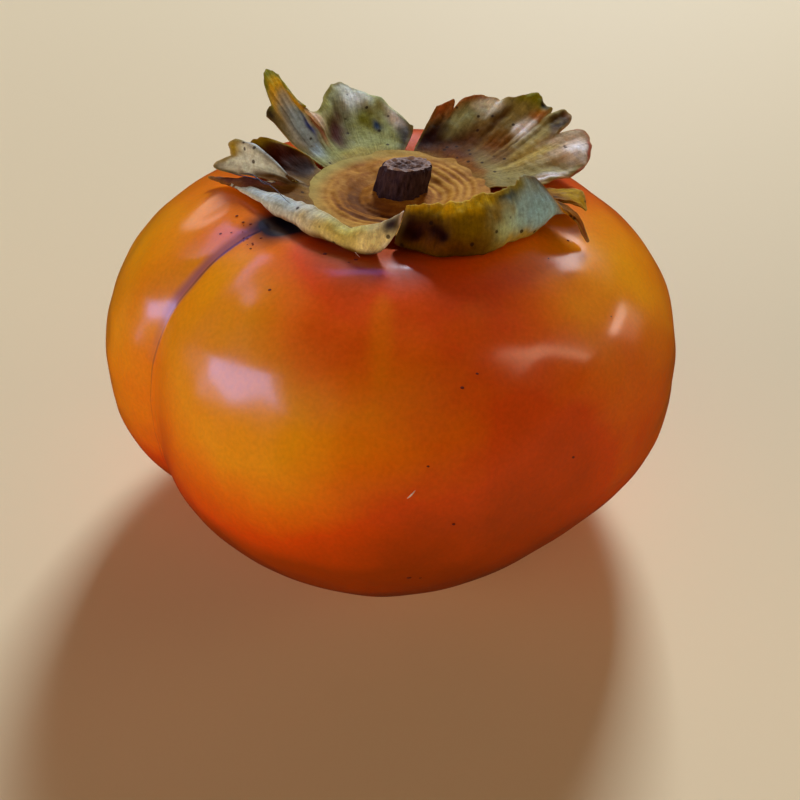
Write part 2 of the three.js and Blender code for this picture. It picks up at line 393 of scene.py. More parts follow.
def through_net(net: Array, across: Array, out: Array) -> Array:
    """Points on the smooth surface through a net.

    Args:
        net: control points, ribs by points by 3.
        across: places from the first rib, 0, to the last, 1.
        out: places from the root of the ribs, 0, to their ends, 1.

    Returns:
        One point for each pair of places.
    """
    padded = mirror_ends(np.swapaxes(mirror_ends(net), 0, 1))
    i, wi = spline_weights(net.shape[0], across)
    j, wj = spline_weights(net.shape[1], out)
    picked = padded[j[..., None, :], i[..., :, None]]
    return np.einsum("...i,...j,...ijk->...k", wi, wj, picked)


# ---------------------------------------------------------------- finishes
@dataclass(frozen=True)
class PersimmonSkin:
    """Ripe persimmon skin under its own wax.

    The thin wax gives soft, pale reflections over a colour that glows a little,
    because light enters the flesh.
    """

    amber: str = "#fcac00"
    orange: str = "#f88400"
    red: str = "#ea5600"
    deep: str = "#b04600"
    scar_and_sheen: str = "#b47484"
    # The scarred strip's pale lavender is partly a painted sheen; the dark line along the crease is partly
    # painted shade.
    dark_line_and_crease_shade: str = "#5c2a38"
    stain: str = "#121022"
    roughness: tuple[float, float] = (0.34, 0.44)
    wax: float = 0.75
    wax_roughness: float = 0.17
    patch: float = 7.0
    patch_drift: float = 0.1
    cell: float = 0.5
    relief: float = 1.6

    def make(self) -> Material:
        """Builds the material.

        Returns:
            The material; it reads the attributes ripe, scar, line and stain.
        """
        surface = {
            "IOR": 1.34,
            "Specular IOR Level": 0.2,
            "Subsurface Weight": 0.13,
            "Subsurface Radius": (0.75, 0.4, 0.12),
            "Subsurface Scale": 1.8 * MM,
            "Coat Weight": self.wax,
            "Coat Roughness": self.wax_roughness,
            "Coat IOR": 1.42,
        }
        material, tree, shader = new_material("persimmon_skin_waxed", surface)
        place = add(tree, "ShaderNodeTexCoord").outputs["Object"]
        ripe_and_shading, scar_and_sheen, line, stain = (
            add(tree, "ShaderNodeAttribute", attribute_name=name).outputs["Fac"]
            for name in ("ripe_and_shading", "scar_and_sheen", "line", "stain")
        )
        # Uneven ripening, in patches a few millimetres across.
        patches = {"Vector": place, "Scale": per(self.patch), "Detail": 4.0, "Roughness": 0.55}
        cloud = add(tree, "ShaderNodeTexNoise", patches)
        swing = {3: -self.patch_drift, 4: self.patch_drift}
        drift = add(tree, "ShaderNodeMapRange", {"Value": cloud, **NOISE_SPAN, **swing})
        # The ripening attribute also holds painted shade on the crown under the calyx and on the lower front,
        # and painted light along the front ridge.
        ripeness_and_shading = add(tree, "ShaderNodeMath", {0: ripe_and_shading, 1: drift}, operation="ADD")
        ripeness_and_shading = add(tree, "ShaderNodeMath", {0: ripeness_and_shading, 1: 1 / RIPEST}, operation="MULTIPLY")
        stops = [(0.0, self.amber), (0.31, self.orange), (0.62, self.red), (1.0, self.deep)]
        colour = add(tree, "ShaderNodeValToRGB", {"Fac": ripeness_and_shading}, stops=stops)
        # Cells of the skin, about a quarter of a millimetre across.
        cells = add(tree, "ShaderNodeTexNoise", {"Vector": place, "Scale": per(self.cell), "Detail": 3.0})
        speckle = add(tree, "ShaderNodeMapRange", {"Value": cells, **NOISE_SPAN, 3: 0.94, 4: 1.06})
        colour = add(tree, "ShaderNodeVectorMath", {0: colour, "Scale": speckle}, operation="SCALE")
        # The corky scarred strip, partly a painted sheen, its dark middle line, partly painted shade in the
        # crease, and the sooty stain, each with a ragged edge.
        masks = (
            (scar_and_sheen, self.scar_and_sheen, 0.1, 0.8),
            (line, self.dark_line_and_crease_shade, 0.2, 0.9),
            (stain, self.stain, 0.2, 0.8),
        )
        for mask, tone, low, high in masks:
            ragged = add(tree, "ShaderNodeMath", {0: mask, 1: drift}, operation="ADD")
            share = add(tree, "ShaderNodeMapRange", {"Value": ragged, 1: low, 2: high})
            feeds = {0: share, 6: colour, 7: linear(tone)}
            colour = add(tree, "ShaderNodeMix", feeds, data_type="RGBA").outputs[2]
        span = {3: self.roughness[0], 4: self.roughness[1]}
        rough = add(tree, "ShaderNodeMapRange", {"Value": cells, **NOISE_SPAN, **span})
        waves = {"Vector": place, "Scale": per(self.relief), "Detail": 4.0, "Roughness": 0.6}
        relief = add(tree, "ShaderNodeTexNoise", waves)
        bump = add(tree, "ShaderNodeBump", {"Height": relief, "Strength": 0.25, "Distance": 0.15 * MM})
        feed(tree, shader, {"Base Color": colour, "Roughness": rough, "Normal": bump})
        return material


@dataclass(frozen=True)
class DriedSepal:
    """Papery dead sepal: a matt, crinkled sheet with a dull sheen where the cuticle is still whole."""

    spot: str = "#2a1810"
    brown: str = "#48290e"
    straw: str = "#b7a35c"
    glint: str = "#ffe4b4"
    roughness: tuple[float, float] = (0.43, 0.75)
    fibre_width: float = 0.35
    fibre_length: float = 3.5
    grain: float = 0.5
    blotch: float = 2.2
    crinkle: float = 0.9
    spot_spacing: float = 1.5
    spotless: float = 0.62

    def make(self) -> Material:
        """Builds the material.

        Returns:
            The material; it reads the attributes tint and rim and the UV map leaf.
        """
        surface = {
            "IOR": 1.4,
            "Specular IOR Level": 0.06,
            "Specular Tint": linear(self.glint),
            "Subsurface Weight": 0.3,
            "Subsurface Radius": (1.0, 0.8, 0.5),
            "Subsurface Scale": 0.4 * MM,
        }
        material, tree, shader = new_material("dried_sepal_paper", surface)
        place = add(tree, "ShaderNodeTexCoord").outputs["Object"]
        leaf = add(tree, "ShaderNodeUVMap", uv_map="leaf").outputs["UV"]
        colour = add(tree, "ShaderNodeAttribute", attribute_name="tint").outputs["Color"]
        rim = add(tree, "ShaderNodeAttribute", attribute_name="rim").outputs["Fac"]
        # Fibres run from the root of the sepal to its edge, a third of a millimetre apart.
        lanes = {"Vector": leaf, "Scale": (1 / self.fibre_width, 1 / self.fibre_length, 1.0)}
        along = add(tree, "ShaderNodeMapping", lanes)
        # The grain is that of the dead cells, a quarter of a millimetre across.
        fibre, grain, blotch, crinkle = (
            add(tree, "ShaderNodeTexNoise", {"Vector": at, "Scale": size, "Detail": fine, "Roughness": rough})
            for at, size, fine, rough in (
                (along, 1.0, 4.0, 0.65),
                (place, per(self.grain), 3.0, 0.7),
                (place, per(self.blotch), 5.0, 0.7),
                (place, per(self.crinkle), 5.0, 0.6),
            )
        )
        for pattern, dark, light in ((fibre, 0.8, 1.18), (grain, 0.78, 1.25)):
            shade = add(tree, "ShaderNodeMapRange", {"Value": pattern, **NOISE_SPAN, 3: dark, 4: light})
            colour = add(tree, "ShaderNodeVectorMath", {0: colour, "Scale": shade}, operation="SCALE")
        stained = add(tree, "ShaderNodeMapRange", {"Value": blotch, 1: 0.54, 2: 0.74, 4: 0.3})
        worn = add(tree, "ShaderNodeMapRange", {"Value": rim, 4: 0.3})
        # Spots of mould and tannin, about half a millimetre across, in a part of the cells.
        cell = add(tree, "ShaderNodeTexVoronoi", {"Vector": place, "Scale": per(self.spot_spacing)})
        edge = {"Value": cell.outputs["Distance"], 1: 0.12, 2: 0.2, 3: 0.85, 4: 0.0}
        spots = add(tree, "ShaderNodeMapRange", edge)
        chance = add(tree, "ShaderNodeSeparateColor", {"Color": cell.outputs["Color"]})
        kept = add(tree, "ShaderNodeMath", {0: chance, 1: self.spotless}, operation="GREATER_THAN")
        spotted = add(tree, "ShaderNodeMath", {0: spots, 1: kept}, operation="MULTIPLY")
        for mask, tone in ((stained, self.brown), (worn, self.straw), (spotted, self.spot)):
            feeds = {0: mask, 6: colour, 7: linear(tone)}
            colour = add(tree, "ShaderNodeMix", feeds, data_type="RGBA").outputs[2]
        span = {3: self.roughness[0], 4: self.roughness[1]}
        rough = add(tree, "ShaderNodeMapRange", {"Value": blotch, **NOISE_SPAN, **span})
        height = add(tree, "ShaderNodeMath", {0: fibre, 1: crinkle}, operation="ADD")
        bump = add(tree, "ShaderNodeBump", {"Height": height, "Strength": 0.45, "Distance": 0.2 * MM})
        feed(tree, shader, {"Base Color": colour, "Roughness": rough, "Normal": bump})
        return material


@dataclass(frozen=True)
class CorkyDisc:
    """The woody middle of a dried calyx: matt cork in growth rings.

    The cork runs from ochre to brown with its own mottling, with painted shade in the hollows and round the
    stalk's foot, painted light on the ridges, and a paler, greenish stretch of rim.
    """

    low: str = "#70400c"
    middle: str = "#a4681c"
    high: str = "#d8a044"
    pale: str = "#b8b060"
    roughness: float = 0.62
    grain: float = 1.1
    grain_drift: float = 0.22

    def make(self) -> Material:
        """Builds the material.

        Returns:
            The material; it reads the attributes hollow and edge.
        """
        surface = {"IOR": 1.4, "Specular IOR Level": 0.05, "Roughness": self.roughness}
        material, tree, shader = new_material("dried_calyx_cork", surface)
        place = add(tree, "ShaderNodeTexCoord").outputs["Object"]
        # The attribute hollow holds painted shade and painted light over the cork's own mottling.
        depth = add(tree, "ShaderNodeAttribute", attribute_name="hollow").outputs["Fac"]
        edge = add(tree, "ShaderNodeAttribute", attribute_name="edge").outputs["Fac"]
        pores = {"Vector": place, "Scale": per(self.grain), "Detail": 5.0, "Roughness": 0.65}
        grain = add(tree, "ShaderNodeTexNoise", pores)
        swing = {3: -self.grain_drift, 4: self.grain_drift}
        drift = add(tree, "ShaderNodeMapRange", {"Value": grain, **NOISE_SPAN, **swing})
        level = add(tree, "ShaderNodeMath", {0: depth, 1: drift}, operation="ADD")
        stops = [(0.0, self.high), (0.5, self.middle), (1.0, self.low)]
        colour = add(tree, "ShaderNodeValToRGB", {"Fac": level}, stops=stops)
        feeds = {0: edge, 6: colour, 7: linear(self.pale)}
        colour = add(tree, "ShaderNodeMix", feeds, data_type="RGBA").outputs[2]
        bump = add(tree, "ShaderNodeBump", {"Height": grain, "Strength": 0.5, "Distance": 0.25 * MM})
        feed(tree, shader, {"Base Color": colour, "Normal": bump})
        return material


@dataclass(frozen=True)
class DeadBark:
    """Bark and cut wood of a dead stub: nearly black purple-brown fibres that scatter all light."""

    bark: str = "#2c1c20"
    ridge: str = "#5a4648"
    cut: str = "#a8948c"
    pith: str = "#54423f"
    roughness: float = 0.85
    fibre: float = 0.5
    fibre_stretch: float = 0.3
    wood_grain: float = 0.7

    def make(self) -> Material:
        """Builds the material.

        Returns:
            The material; it reads the attributes cut and pith.
        """
        surface = {"IOR": 1.4, "Specular IOR Level": 0.2, "Roughness": self.roughness}
        material, tree, shader = new_material("dead_stalk_bark", surface)
        place = add(tree, "ShaderNodeTexCoord").outputs["Object"]
        face = add(tree, "ShaderNodeAttribute", attribute_name="cut").outputs["Fac"]
        inner = add(tree, "ShaderNodeAttribute", attribute_name="pith").outputs["Fac"]
        along = add(tree, "ShaderNodeMapping", {"Vector": place, "Scale": (1.0, 1.0, self.fibre_stretch)})
        rough = {"Detail": 5.0, "Roughness": 0.7}
        fibre, grain = (
            add(tree, "ShaderNodeTexNoise", {"Vector": at, "Scale": per(size), **rough})
            for at, size in ((along, self.fibre), (place, self.wood_grain))
        )
        bark = add(tree, "ShaderNodeValToRGB", {"Fac": fibre}, stops=[(0.35, self.bark), (0.75, self.ridge)])
        core = add(tree, "ShaderNodeMath", {0: grain, 1: inner}, operation="MULTIPLY")
        core = add(tree, "ShaderNodeMapRange", {"Value": core, 1: 0.35, 2: 0.6})
        feeds = {0: core, 6: linear(self.cut), 7: linear(self.pith)}
        wood = add(tree, "ShaderNodeMix", feeds, data_type="RGBA").outputs[2]
        colour = add(tree, "ShaderNodeMix", {0: face, 6: bark, 7: wood}, data_type="RGBA").outputs[2]
        bump = add(tree, "ShaderNodeBump", {"Height": fibre, "Strength": 0.8, "Distance": 0.3 * MM})
        feed(tree, shader, {"Base Color": colour, "Normal": bump})
        return material


# ---------------------------------------------------------------- the fruit
@dataclass(frozen=True)
class Valley:
    """A furrow from the calyx to the blossom end.

    Its depth is a share of the radius, its half widths lie on the side of smaller and of larger azimuth, and
    round is 0 for a sharp crease.
    """

    azimuth: float
    depth: float
    widths: tuple[float, float]
    round: float


@dataclass(frozen=True)
class SkinTonePatch:
    """A patch of skin in a paler, less ripened colour, and in a deeper colour where its amount is negative;
    some deep patches are painted shade, and one pale band is painted light.
    """

    azimuth: float
    latitude: float
    size: tuple[float, float]
    amount: float


@dataclass(frozen=True)
class Stripe:
    """A mark along the crease: its strength, middle and half width, and the latitudes where it comes in."""

    strength: float
    middle: float
    width: float
    start: tuple[float, float]

    def at(self, arc: Array, latitude: Array) -> Array:
        """Strength by the distance from the crease and the latitude."""
        return self.strength * bell((arc - self.middle) / self.width) * step(latitude, *self.start)


@dataclass
class Fruit:
    """The fleshy fruit: four lobes, one of them folded over its neighbour along a deep crease."""

    plan: tuple[float, float] = (0.66, -0.4)
    radius: float = 38.6
    shoulder: float = 28.2
    keel: float = 25.0
    trim: float = 2.2
    powers: tuple[float, float] = (2.55, 1.9)
    lean: float = -0.03
    dip: float = 3.6
    dip_radius: float = 14.0
    navel: float = 2.0
    navel_radius: float = 5.0
    crease: float = 211.0
    valley_fade: float = 0.25
    around: int = 400
    levels: int = 200
    valleys: tuple[Valley, ...] = (
        Valley(211, 0.12, (11, 16), 0.08),
        Valley(304, 0.022, (18, 18), 0.8),
        Valley(28, 0.03, (18, 18), 0.7),
        Valley(112, 0.035, (18, 18), 0.6),
    )
    swells: tuple[Sector, ...] = (
        Sector(10, 30, 0.008),
        Sector(160, 30, 0.05),
        Sector(196, 14, 0.025),
        Sector(240, 30, -0.02),
        Sector(305, 30, -0.08),
    )
    tone_and_shading_patches: tuple[SkinTonePatch, ...] = (
        SkinTonePatch(246, 21, (20, 22), 1.0),
        SkinTonePatch(228, 46, (20, 24), 0.75),
        SkinTonePatch(186, 28, (36, 44), 1.0),
        SkinTonePatch(338, 48, (30, 26), 0.75),
        SkinTonePatch(352, 2, (26, 40), 0.5),
        SkinTonePatch(318, 12, (7, 36), 0.22),
        # Painted light: a lighter band along the ridge under the calyx.
        SkinTonePatch(268, 54, (3, 12), 0.3),
        SkinTonePatch(90, 30, (40, 30), 0.4),
        # Painted shade of the calyx on the crown, given as deeper skin colour.
        SkinTonePatch(258, 70, (26, 8), -0.7),
        # Painted shade on the lower front, given as deeper colour, partly riper skin; the next patch too.
        SkinTonePatch(240, -25, (48, 21), -1.0),
        SkinTonePatch(298, -12, (34, 30), -0.3),
        SkinTonePatch(277, 24, (14, 22), 0.25),
        SkinTonePatch(266, 38, (16, 14), 0.25),
        # Painted shade on the lower front, given as deeper colour, partly riper skin.
        SkinTonePatch(262, 0, (26, 20), -0.35),
    )
    tone_patch_edge: float = 1.3
    # The scarred strip partly paints a sheen, and the dark line partly paints the crease's shade.
    scar_and_sheen: Stripe = Stripe(0.8, -0.5, 0.95, (15, 50))
    line: Stripe = Stripe(1.0, 0.1, 0.3, (-30, 5))
    line_low: float = 0.45
    line_full: tuple[float, float] = (35, 62)
    stain: Sector = Sector(1, 12, 1.3)
    stain_band: tuple[float, float] = (72, 8.5)
    lap: Sector = Sector(3.5, 3.5, 2.2)
    crease_detail: Sector = Sector(0, 9, 3)
    lumps: tuple[Waves, ...] = (Waves(0.1, 16, 3), Waves(0.075, 5, 4))
    ridge: Sector = Sector(268.5, 3, 0.04)
    ridge_band: tuple[float, float] = (56, 12)
    calm_heights: tuple[float, float] = (0.5, 6)
    calm_crown: tuple[float, float] = (4, 12)
    crown_height: float = 47.0

    def point(self, azimuth: Array, latitude: Array) -> Array:
        """Points of the skin.

        Args:
            azimuth: directions round the axis.
            latitude: -90 at the blossom end, 0 at the widest level, 90 at the crown.

        Returns:
            Their places in millimetres.
        """
        c, s = np.cos(np.radians(latitude)), np.sin(np.radians(latitude))
        above = s > 0
        power = np.where(above, 2 / self.powers[0], 2 / self.powers[1])
        reach = self.radius * np.abs(c) ** power
        height = np.where(above, self.shoulder, -self.keel) * np.abs(s) ** power
        share = np.ones_like(reach)
        for v in self.valleys:
            off = wrap(azimuth - v.azimuth)
            x = off / np.where(off > 0, v.widths[1], v.widths[0])
            cut = v.depth * np.exp(v.round - np.sqrt(x * x + v.round**2))
            share -= cut * np.sqrt(np.abs(c)) * (1 - self.valley_fade + self.valley_fade * s)
        for swell in self.swells:
            share += swell.at(azimuth) * c
        reach = reach * share
        height = height - self.dip * np.exp(-((reach / self.dip_radius) ** 4)) * above
        level = np.maximum(height + self.keel - self.trim, 0)
        hollow = self.navel * np.maximum(1 - (reach / self.navel_radius) ** 2, 0) ** 2
        level = level + np.where(above, 0, hollow)
        turn = np.radians(azimuth)
        x = self.plan[0] + reach * np.cos(turn) + self.lean * (level - self.keel)
        return np.stack([x, self.plan[1] + reach * np.sin(turn), level], -1)

    def crown(self, x: Array, y: Array) -> Array:
        """Heights of the upper skin, found by halving the range of latitudes again and again.

        Args:
            x: places in the plan.
            y: places in the plan.

        Returns:
            The skin's height at each place.
        """
        level = np.full_like(x, self.crown_height)
        passes, halvings = 3, 18
        for _ in range(passes):
            dx, dy = x - self.plan[0] - self.lean * (level - self.keel), y - self.plan[1]
            azimuth, reach = np.degrees(np.arctan2(dy, dx)), np.hypot(dx, dy)
            low, high = np.zeros_like(x), np.full_like(x, 90.0)
            for _ in range(halvings):
                middle = (low + high) / 2
                p = self.point(azimuth, middle)
                drift = self.lean * (p[..., 2] - self.keel)
                beyond = np.hypot(p[..., 0] - self.plan[0] - drift, p[..., 1] - self.plan[1]) > reach
                low, high = np.where(beyond, middle, low), np.where(beyond, high, middle)
            level = p[..., 2]
        return level

    def place(self, azimuth: Array, latitude: Array) -> tuple[Array, Array]:
        """Points of the skin and the directions square to it there.

        Args:
            azimuth: directions round the axis.
            latitude: latitudes, as for point.

        Returns:
            Points and unit normals.
        """
        nudge = 0.2
        points = self.point(azimuth, latitude)
        around = self.point(azimuth + nudge, latitude) - points
        up = self.point(azimuth, latitude + nudge) - points
        normals = np.cross(around, up)
        return points, normals / np.linalg.norm(normals, axis=-1, keepdims=True)

    def azimuths(self) -> Array:
        """Directions of the mesh's columns, closer together along the crease.

        Returns:
            As many directions as there are columns.
        """
        fine = np.linspace(0, 360, 3601)
        pull = 1 + self.crease_detail.at(fine - self.crease)
        run = np.concatenate([[0], np.cumsum((pull[1:] + pull[:-1]) / 2)])
        return np.interp(np.linspace(0, run[-1], self.around, endpoint=False), run, fine)

    def build(self, finish: Material) -> None:
        """Makes the skin, with the marks that its finish reads.

        Args:
            finish: the skin's material.
        """
        azimuth, latitude = np.meshgrid(self.azimuths(), np.linspace(-90, 90, self.levels), indexing="ij")
        off = wrap(azimuth - self.crease)
        lap = self.lap.at(off) * np.cos(np.radians(latitude))
        points = self.point(azimuth - lap, latitude)
        lumps = sum(waves.over(points) for waves in self.lumps)
        middle, width = self.ridge_band
        lumps += self.ridge.at(azimuth) * bell((latitude - middle) / width)
        calm = step(points[..., 2], *self.calm_heights) * step(90 - latitude, *self.calm_crown)
        points = points + grid_normals(points) * (lumps * calm)[..., None]
        flat, faces = closed_tube(points[:, 1:-1], points[0, 0], points[0, -1])
        piece = new_mesh("persimmon_skin", flat, faces)
        for name, values in self.marks(azimuth, latitude, off).items():
            ends = [values[0, 0], values[0, -1]]
            set_attribute(piece, name, np.concatenate([values[:, 1:-1].ravel(), ends]))
        piece.data.materials.append(finish)
        settle(piece, "skin", "fruit")

    def marks(self, azimuth: Array, latitude: Array, off: Array) -> dict[str, Array]:
        """Ripeness with painted shade and painted light, the scarred strip along the crease with its painted
        sheen and dark line, and the stain at its head.

        Args:
            azimuth: directions of the mesh's points.
            latitude: their latitudes.
            off: their azimuth counted from the crease.

        Returns:
            Values from 0 to 1 by attribute name.
        """
        ripe_and_shading = np.ones_like(azimuth)
        for b in self.tone_and_shading_patches:
            x, y = wrap(azimuth - b.azimuth) / b.size[0], (latitude - b.latitude) / b.size[1]
            ripe_and_shading = ripe_and_shading - b.amount * np.exp(-((x * x + y * y) ** self.tone_patch_edge))
        arc = np.radians(off) * self.radius * np.cos(np.radians(latitude))
        gain = self.line_low + (1 - self.line_low) * step(latitude, *self.line_full)
        middle, width = self.stain_band
        return {
            "ripe_and_shading": np.clip(ripe_and_shading, 0, RIPEST),
            "scar_and_sheen": self.scar_and_sheen.at(arc, latitude),
            "line": self.line.at(arc, latitude) * gain,
            "stain": self.stain.at(off) * bell((latitude - middle) / width),
        }


# ---------------------------------------------------------------- the calyx
class Face(Enum):
    """Which face of a sepal a mark lies on."""

    UPPER = 0
    UNDER = 1
    BOTH = 2


@dataclass(frozen=True)
class SepalPatch:
    """A patch of colour on a sepal, by its place on the net: across it, and out from its root; a few are
    painted highlights and painted shade.
    """

    tone: str
    across: float
    out: float
    size: tuple[float, float]
    face: Face = Face.BOTH
    strength: float = 1.0


@dataclass(frozen=True)
class Notch:
    """A bite out of the edge of a sepal: where, how wide and how deep, as shares of the net."""

    across: float
    width: float
    depth: float


# The middle of the calyx, in millimetres; heights on the calyx count from its level.
CALYX = np.array([0.96, -0.4, 47.4])


def calyx_points(polar: Array) -> Array:
    """Places counted from the middle of the calyx, as points.

    Args:
        polar: azimuth, distance and height of each place.

    Returns:
        Their places in millimetres.
    """
    turn = np.radians(polar[..., 0])
    flat = [polar[..., 1] * np.cos(turn), polar[..., 1] * np.sin(turn), polar[..., 2]]
    return CALYX + np.stack(flat, -1)


@dataclass
class Sepal:
    """One dried sepal: a sheet through a net of ribs from the disc to the sepal's edge."""

    name: str
    node: str
    net: tuple[tuple[Row, ...], ...]
    upper: str
    under: str
    marks_and_painted_light: tuple[SepalPatch, ...] = ()
    notches: tuple[Notch, ...] = ()
    seed: int = 1
    thickness: float = 0.42
    rag: float = 0.02
    wrinkle: float = 0.25
    vein: Waves = Waves(0.12, 2.2, 7)
    vein_bend: float = 2.0
    width: float = 32.0
    spread: float = 1.25
    root: float = 9.6
    root_height: float = 1.35
    root_tone: str = "#a8803c"
    columns: int = 260
    rows: int = 110
    edge_length: float = 40.0
    # Shares of rag and of wrinkle, each with its wavelength.
    tears: tuple[tuple[float, float], ...] = ((1.0, 6.0), (0.6, 1.6))
    creases: tuple[tuple[float, float], ...] = ((1.0, 4.5), (0.25, 1.4))
    loose: tuple[float, float] = (0.15, 0.7)
    held: float = 0.1
    thin_share: float = 0.35
    thin_width: float = 0.5
    rim_width: float = 0.16
    rim_slopes: tuple[float, float] = (6.0, 5.0)
    root_share: float = 0.8
    root_fade: tuple[float, float] = (0.02, 0.26)
    notch_edge: float = 1.2
    sepal_patch_edge: float = 1.4
    sway: Waves = Waves(0.014, 2.2, 5)
    sepal_patch_sway: float = 1.5
    root_sway: float = 3.0
    gap: float = 0.3

    def control(self) -> Array:
        """The net's points, each rib with one more under the rim of the disc."""
        ribs = [((rib[0][0], self.root, self.root_height), *rib) for rib in self.net]
        return calyx_points(np.array(ribs))

    def sheet(self, fruit: Fruit) -> tuple[Array, Array, Array, Array]:
        """The middle of the sheet.

        Args:
            fruit: the fruit that it is kept clear of.

        Returns:
            Points, normals, and the places across and out on the net, all as grids.
        """
        columns, rows = (np.linspace(0, 1, count) for count in (self.columns, self.rows))
        across, out = np.meshgrid(columns, rows, indexing="ij")
        edge = np.ones_like(across)
        for number, (share, length) in enumerate(self.tears):
            lane = across[..., None] * self.edge_length
            edge -= self.rag * share * (1 + ripple(lane, length, self.seed + number)) / 2
        for notch in self.notches:
            off = np.abs(across - notch.across) / notch.width
            edge -= notch.depth * np.exp(-(off**self.notch_edge))
        reach = out * (1 - (1 - edge) * out**2)
        points = through_net(self.control(), across, reach)
        normals = grid_normals(points)
        loose = step(out, *self.loose)
        for number, (share, length) in enumerate(self.creases, 2):
            height = share * self.wrinkle * loose * ripple(points, length, self.seed + number)
            points = points + normals * height[..., None]
        lanes = np.stack([across * self.width, reach * self.vein_bend], -1)
        veins = self.vein.height * loose * ripple(lanes, self.vein.length, self.seed + self.vein.seed)
        points = points + normals * veins[..., None]
        floor = fruit.crown(points[..., 0], points[..., 1]) + self.gap + self.thickness / 2
        points[..., 2] = np.where(out > self.held, np.maximum(points[..., 2], floor), points[..., 2])
        return points, grid_normals(points), across, out

    def tint(self, points: Array, across: Array, out: Array, face: Face) -> Array:
        """Colour of each point of one face.

        Args:
            points: the sheet's points.
            across: places across the net.
            out: places out on the net.
            face: the face that is coloured.

        Returns:
            Linear colours with alpha.
        """
        base = np.array(linear(self.upper if face is Face.UPPER else self.under))
        colour = np.broadcast_to(base, (*across.shape, 4)).copy()
        sway = self.sway.height * ripple(points, self.sway.length, self.seed + self.sway.seed)
        # Most patches are the sepal's own colours; a few are painted highlights and painted shade.
        for stain in self.marks_and_painted_light:
            if stain.face in (face, Face.BOTH):
                x = (across + sway - stain.across) / (self.spread * stain.size[0])
                y = (out + self.sepal_patch_sway * sway - stain.out) / (self.spread * stain.size[1])
                share = stain.strength * np.exp(-((x * x + y * y) ** self.sepal_patch_edge))
                colour += (np.array(linear(stain.tone)) - colour) * share[..., None]
        root = self.root_share * (1 - step(out + self.root_sway * sway, *self.root_fade))
        return colour + (np.array(linear(self.root_tone)) - colour) * root[..., None]

    def build(self, fruit: Fruit, finish: Material) -> None:
        """Makes the sepal as a closed thin sheet, with the colours that its finish reads.

        Args:
            fruit: the fruit under it.
            finish: the sepal's material.
        """
        points, normals, across, out = self.sheet(fruit)
        side, tip = self.rim_slopes
        rim = np.minimum(np.minimum(across, 1 - across) * side, (1 - out) * tip)
        thin = self.thin_share + (1 - self.thin_share) * step(rim, 0, self.thin_width)
        half = self.thickness / 2 * thin
        upper, under = points + normals * half[..., None], points - normals * half[..., None]
        columns, rows = across.shape
        count = columns * rows
        top = grid_quads(columns, rows)
        number = np.arange(count).reshape(columns, rows)
        loop = np.concatenate([number[:-1, 0], number[-1, :-1], number[:0:-1, -1], number[0, :0:-1]])
        ahead = np.roll(loop, -1)
        wall = np.stack([ahead, loop, loop + count, ahead + count], -1)
        flat = np.concatenate([upper.reshape(-1, 3), under.reshape(-1, 3)])
        piece = new_mesh(self.name, flat, [top, top[:, ::-1] + count, wall])
        colours = [self.tint(points, across, out, face).reshape(-1, 4) for face in (Face.UPPER, Face.UNDER)]
        set_attribute(piece, "tint", np.concatenate(colours))
        set_attribute(piece, "rim", np.tile((1 - step(rim, 0, self.rim_width)).ravel(), 2))
        self.lay_map(piece, points)
        piece.data.materials.append(finish)
        settle(piece, "sepal", self.node)

    @staticmethod
    def lay_map(piece: Piece, points: Array) -> None:
        """Gives the sheet a UV map in millimetres, across the ribs and along them.

        Args:
            piece: the sheet, whose upper points come before its lower ones.
            points: the grid of points in the middle of the sheet.
        """
        spans = np.linalg.norm(np.diff(points, axis=0), axis=-1).mean(1)
        u = np.concatenate([[0], np.cumsum(spans)])
        v = np.concatenate([[0], np.cumsum(np.linalg.norm(np.diff(points, axis=1), axis=-1).mean(0))])
        grid = np.stack(np.meshgrid(u, v, indexing="ij"), -1).reshape(-1, 2)
        corner = np.zeros(len(piece.data.loops), np.int32)
        piece.data.loops.foreach_get("vertex_index", corner)
        layer = piece.data.uv_layers.new(name="leaf")
        layer.uv.foreach_set("vector", np.tile(grid, (2, 1))[corner].astype(np.float32).ravel())


UP, LOW = Face.UPPER, Face.UNDER

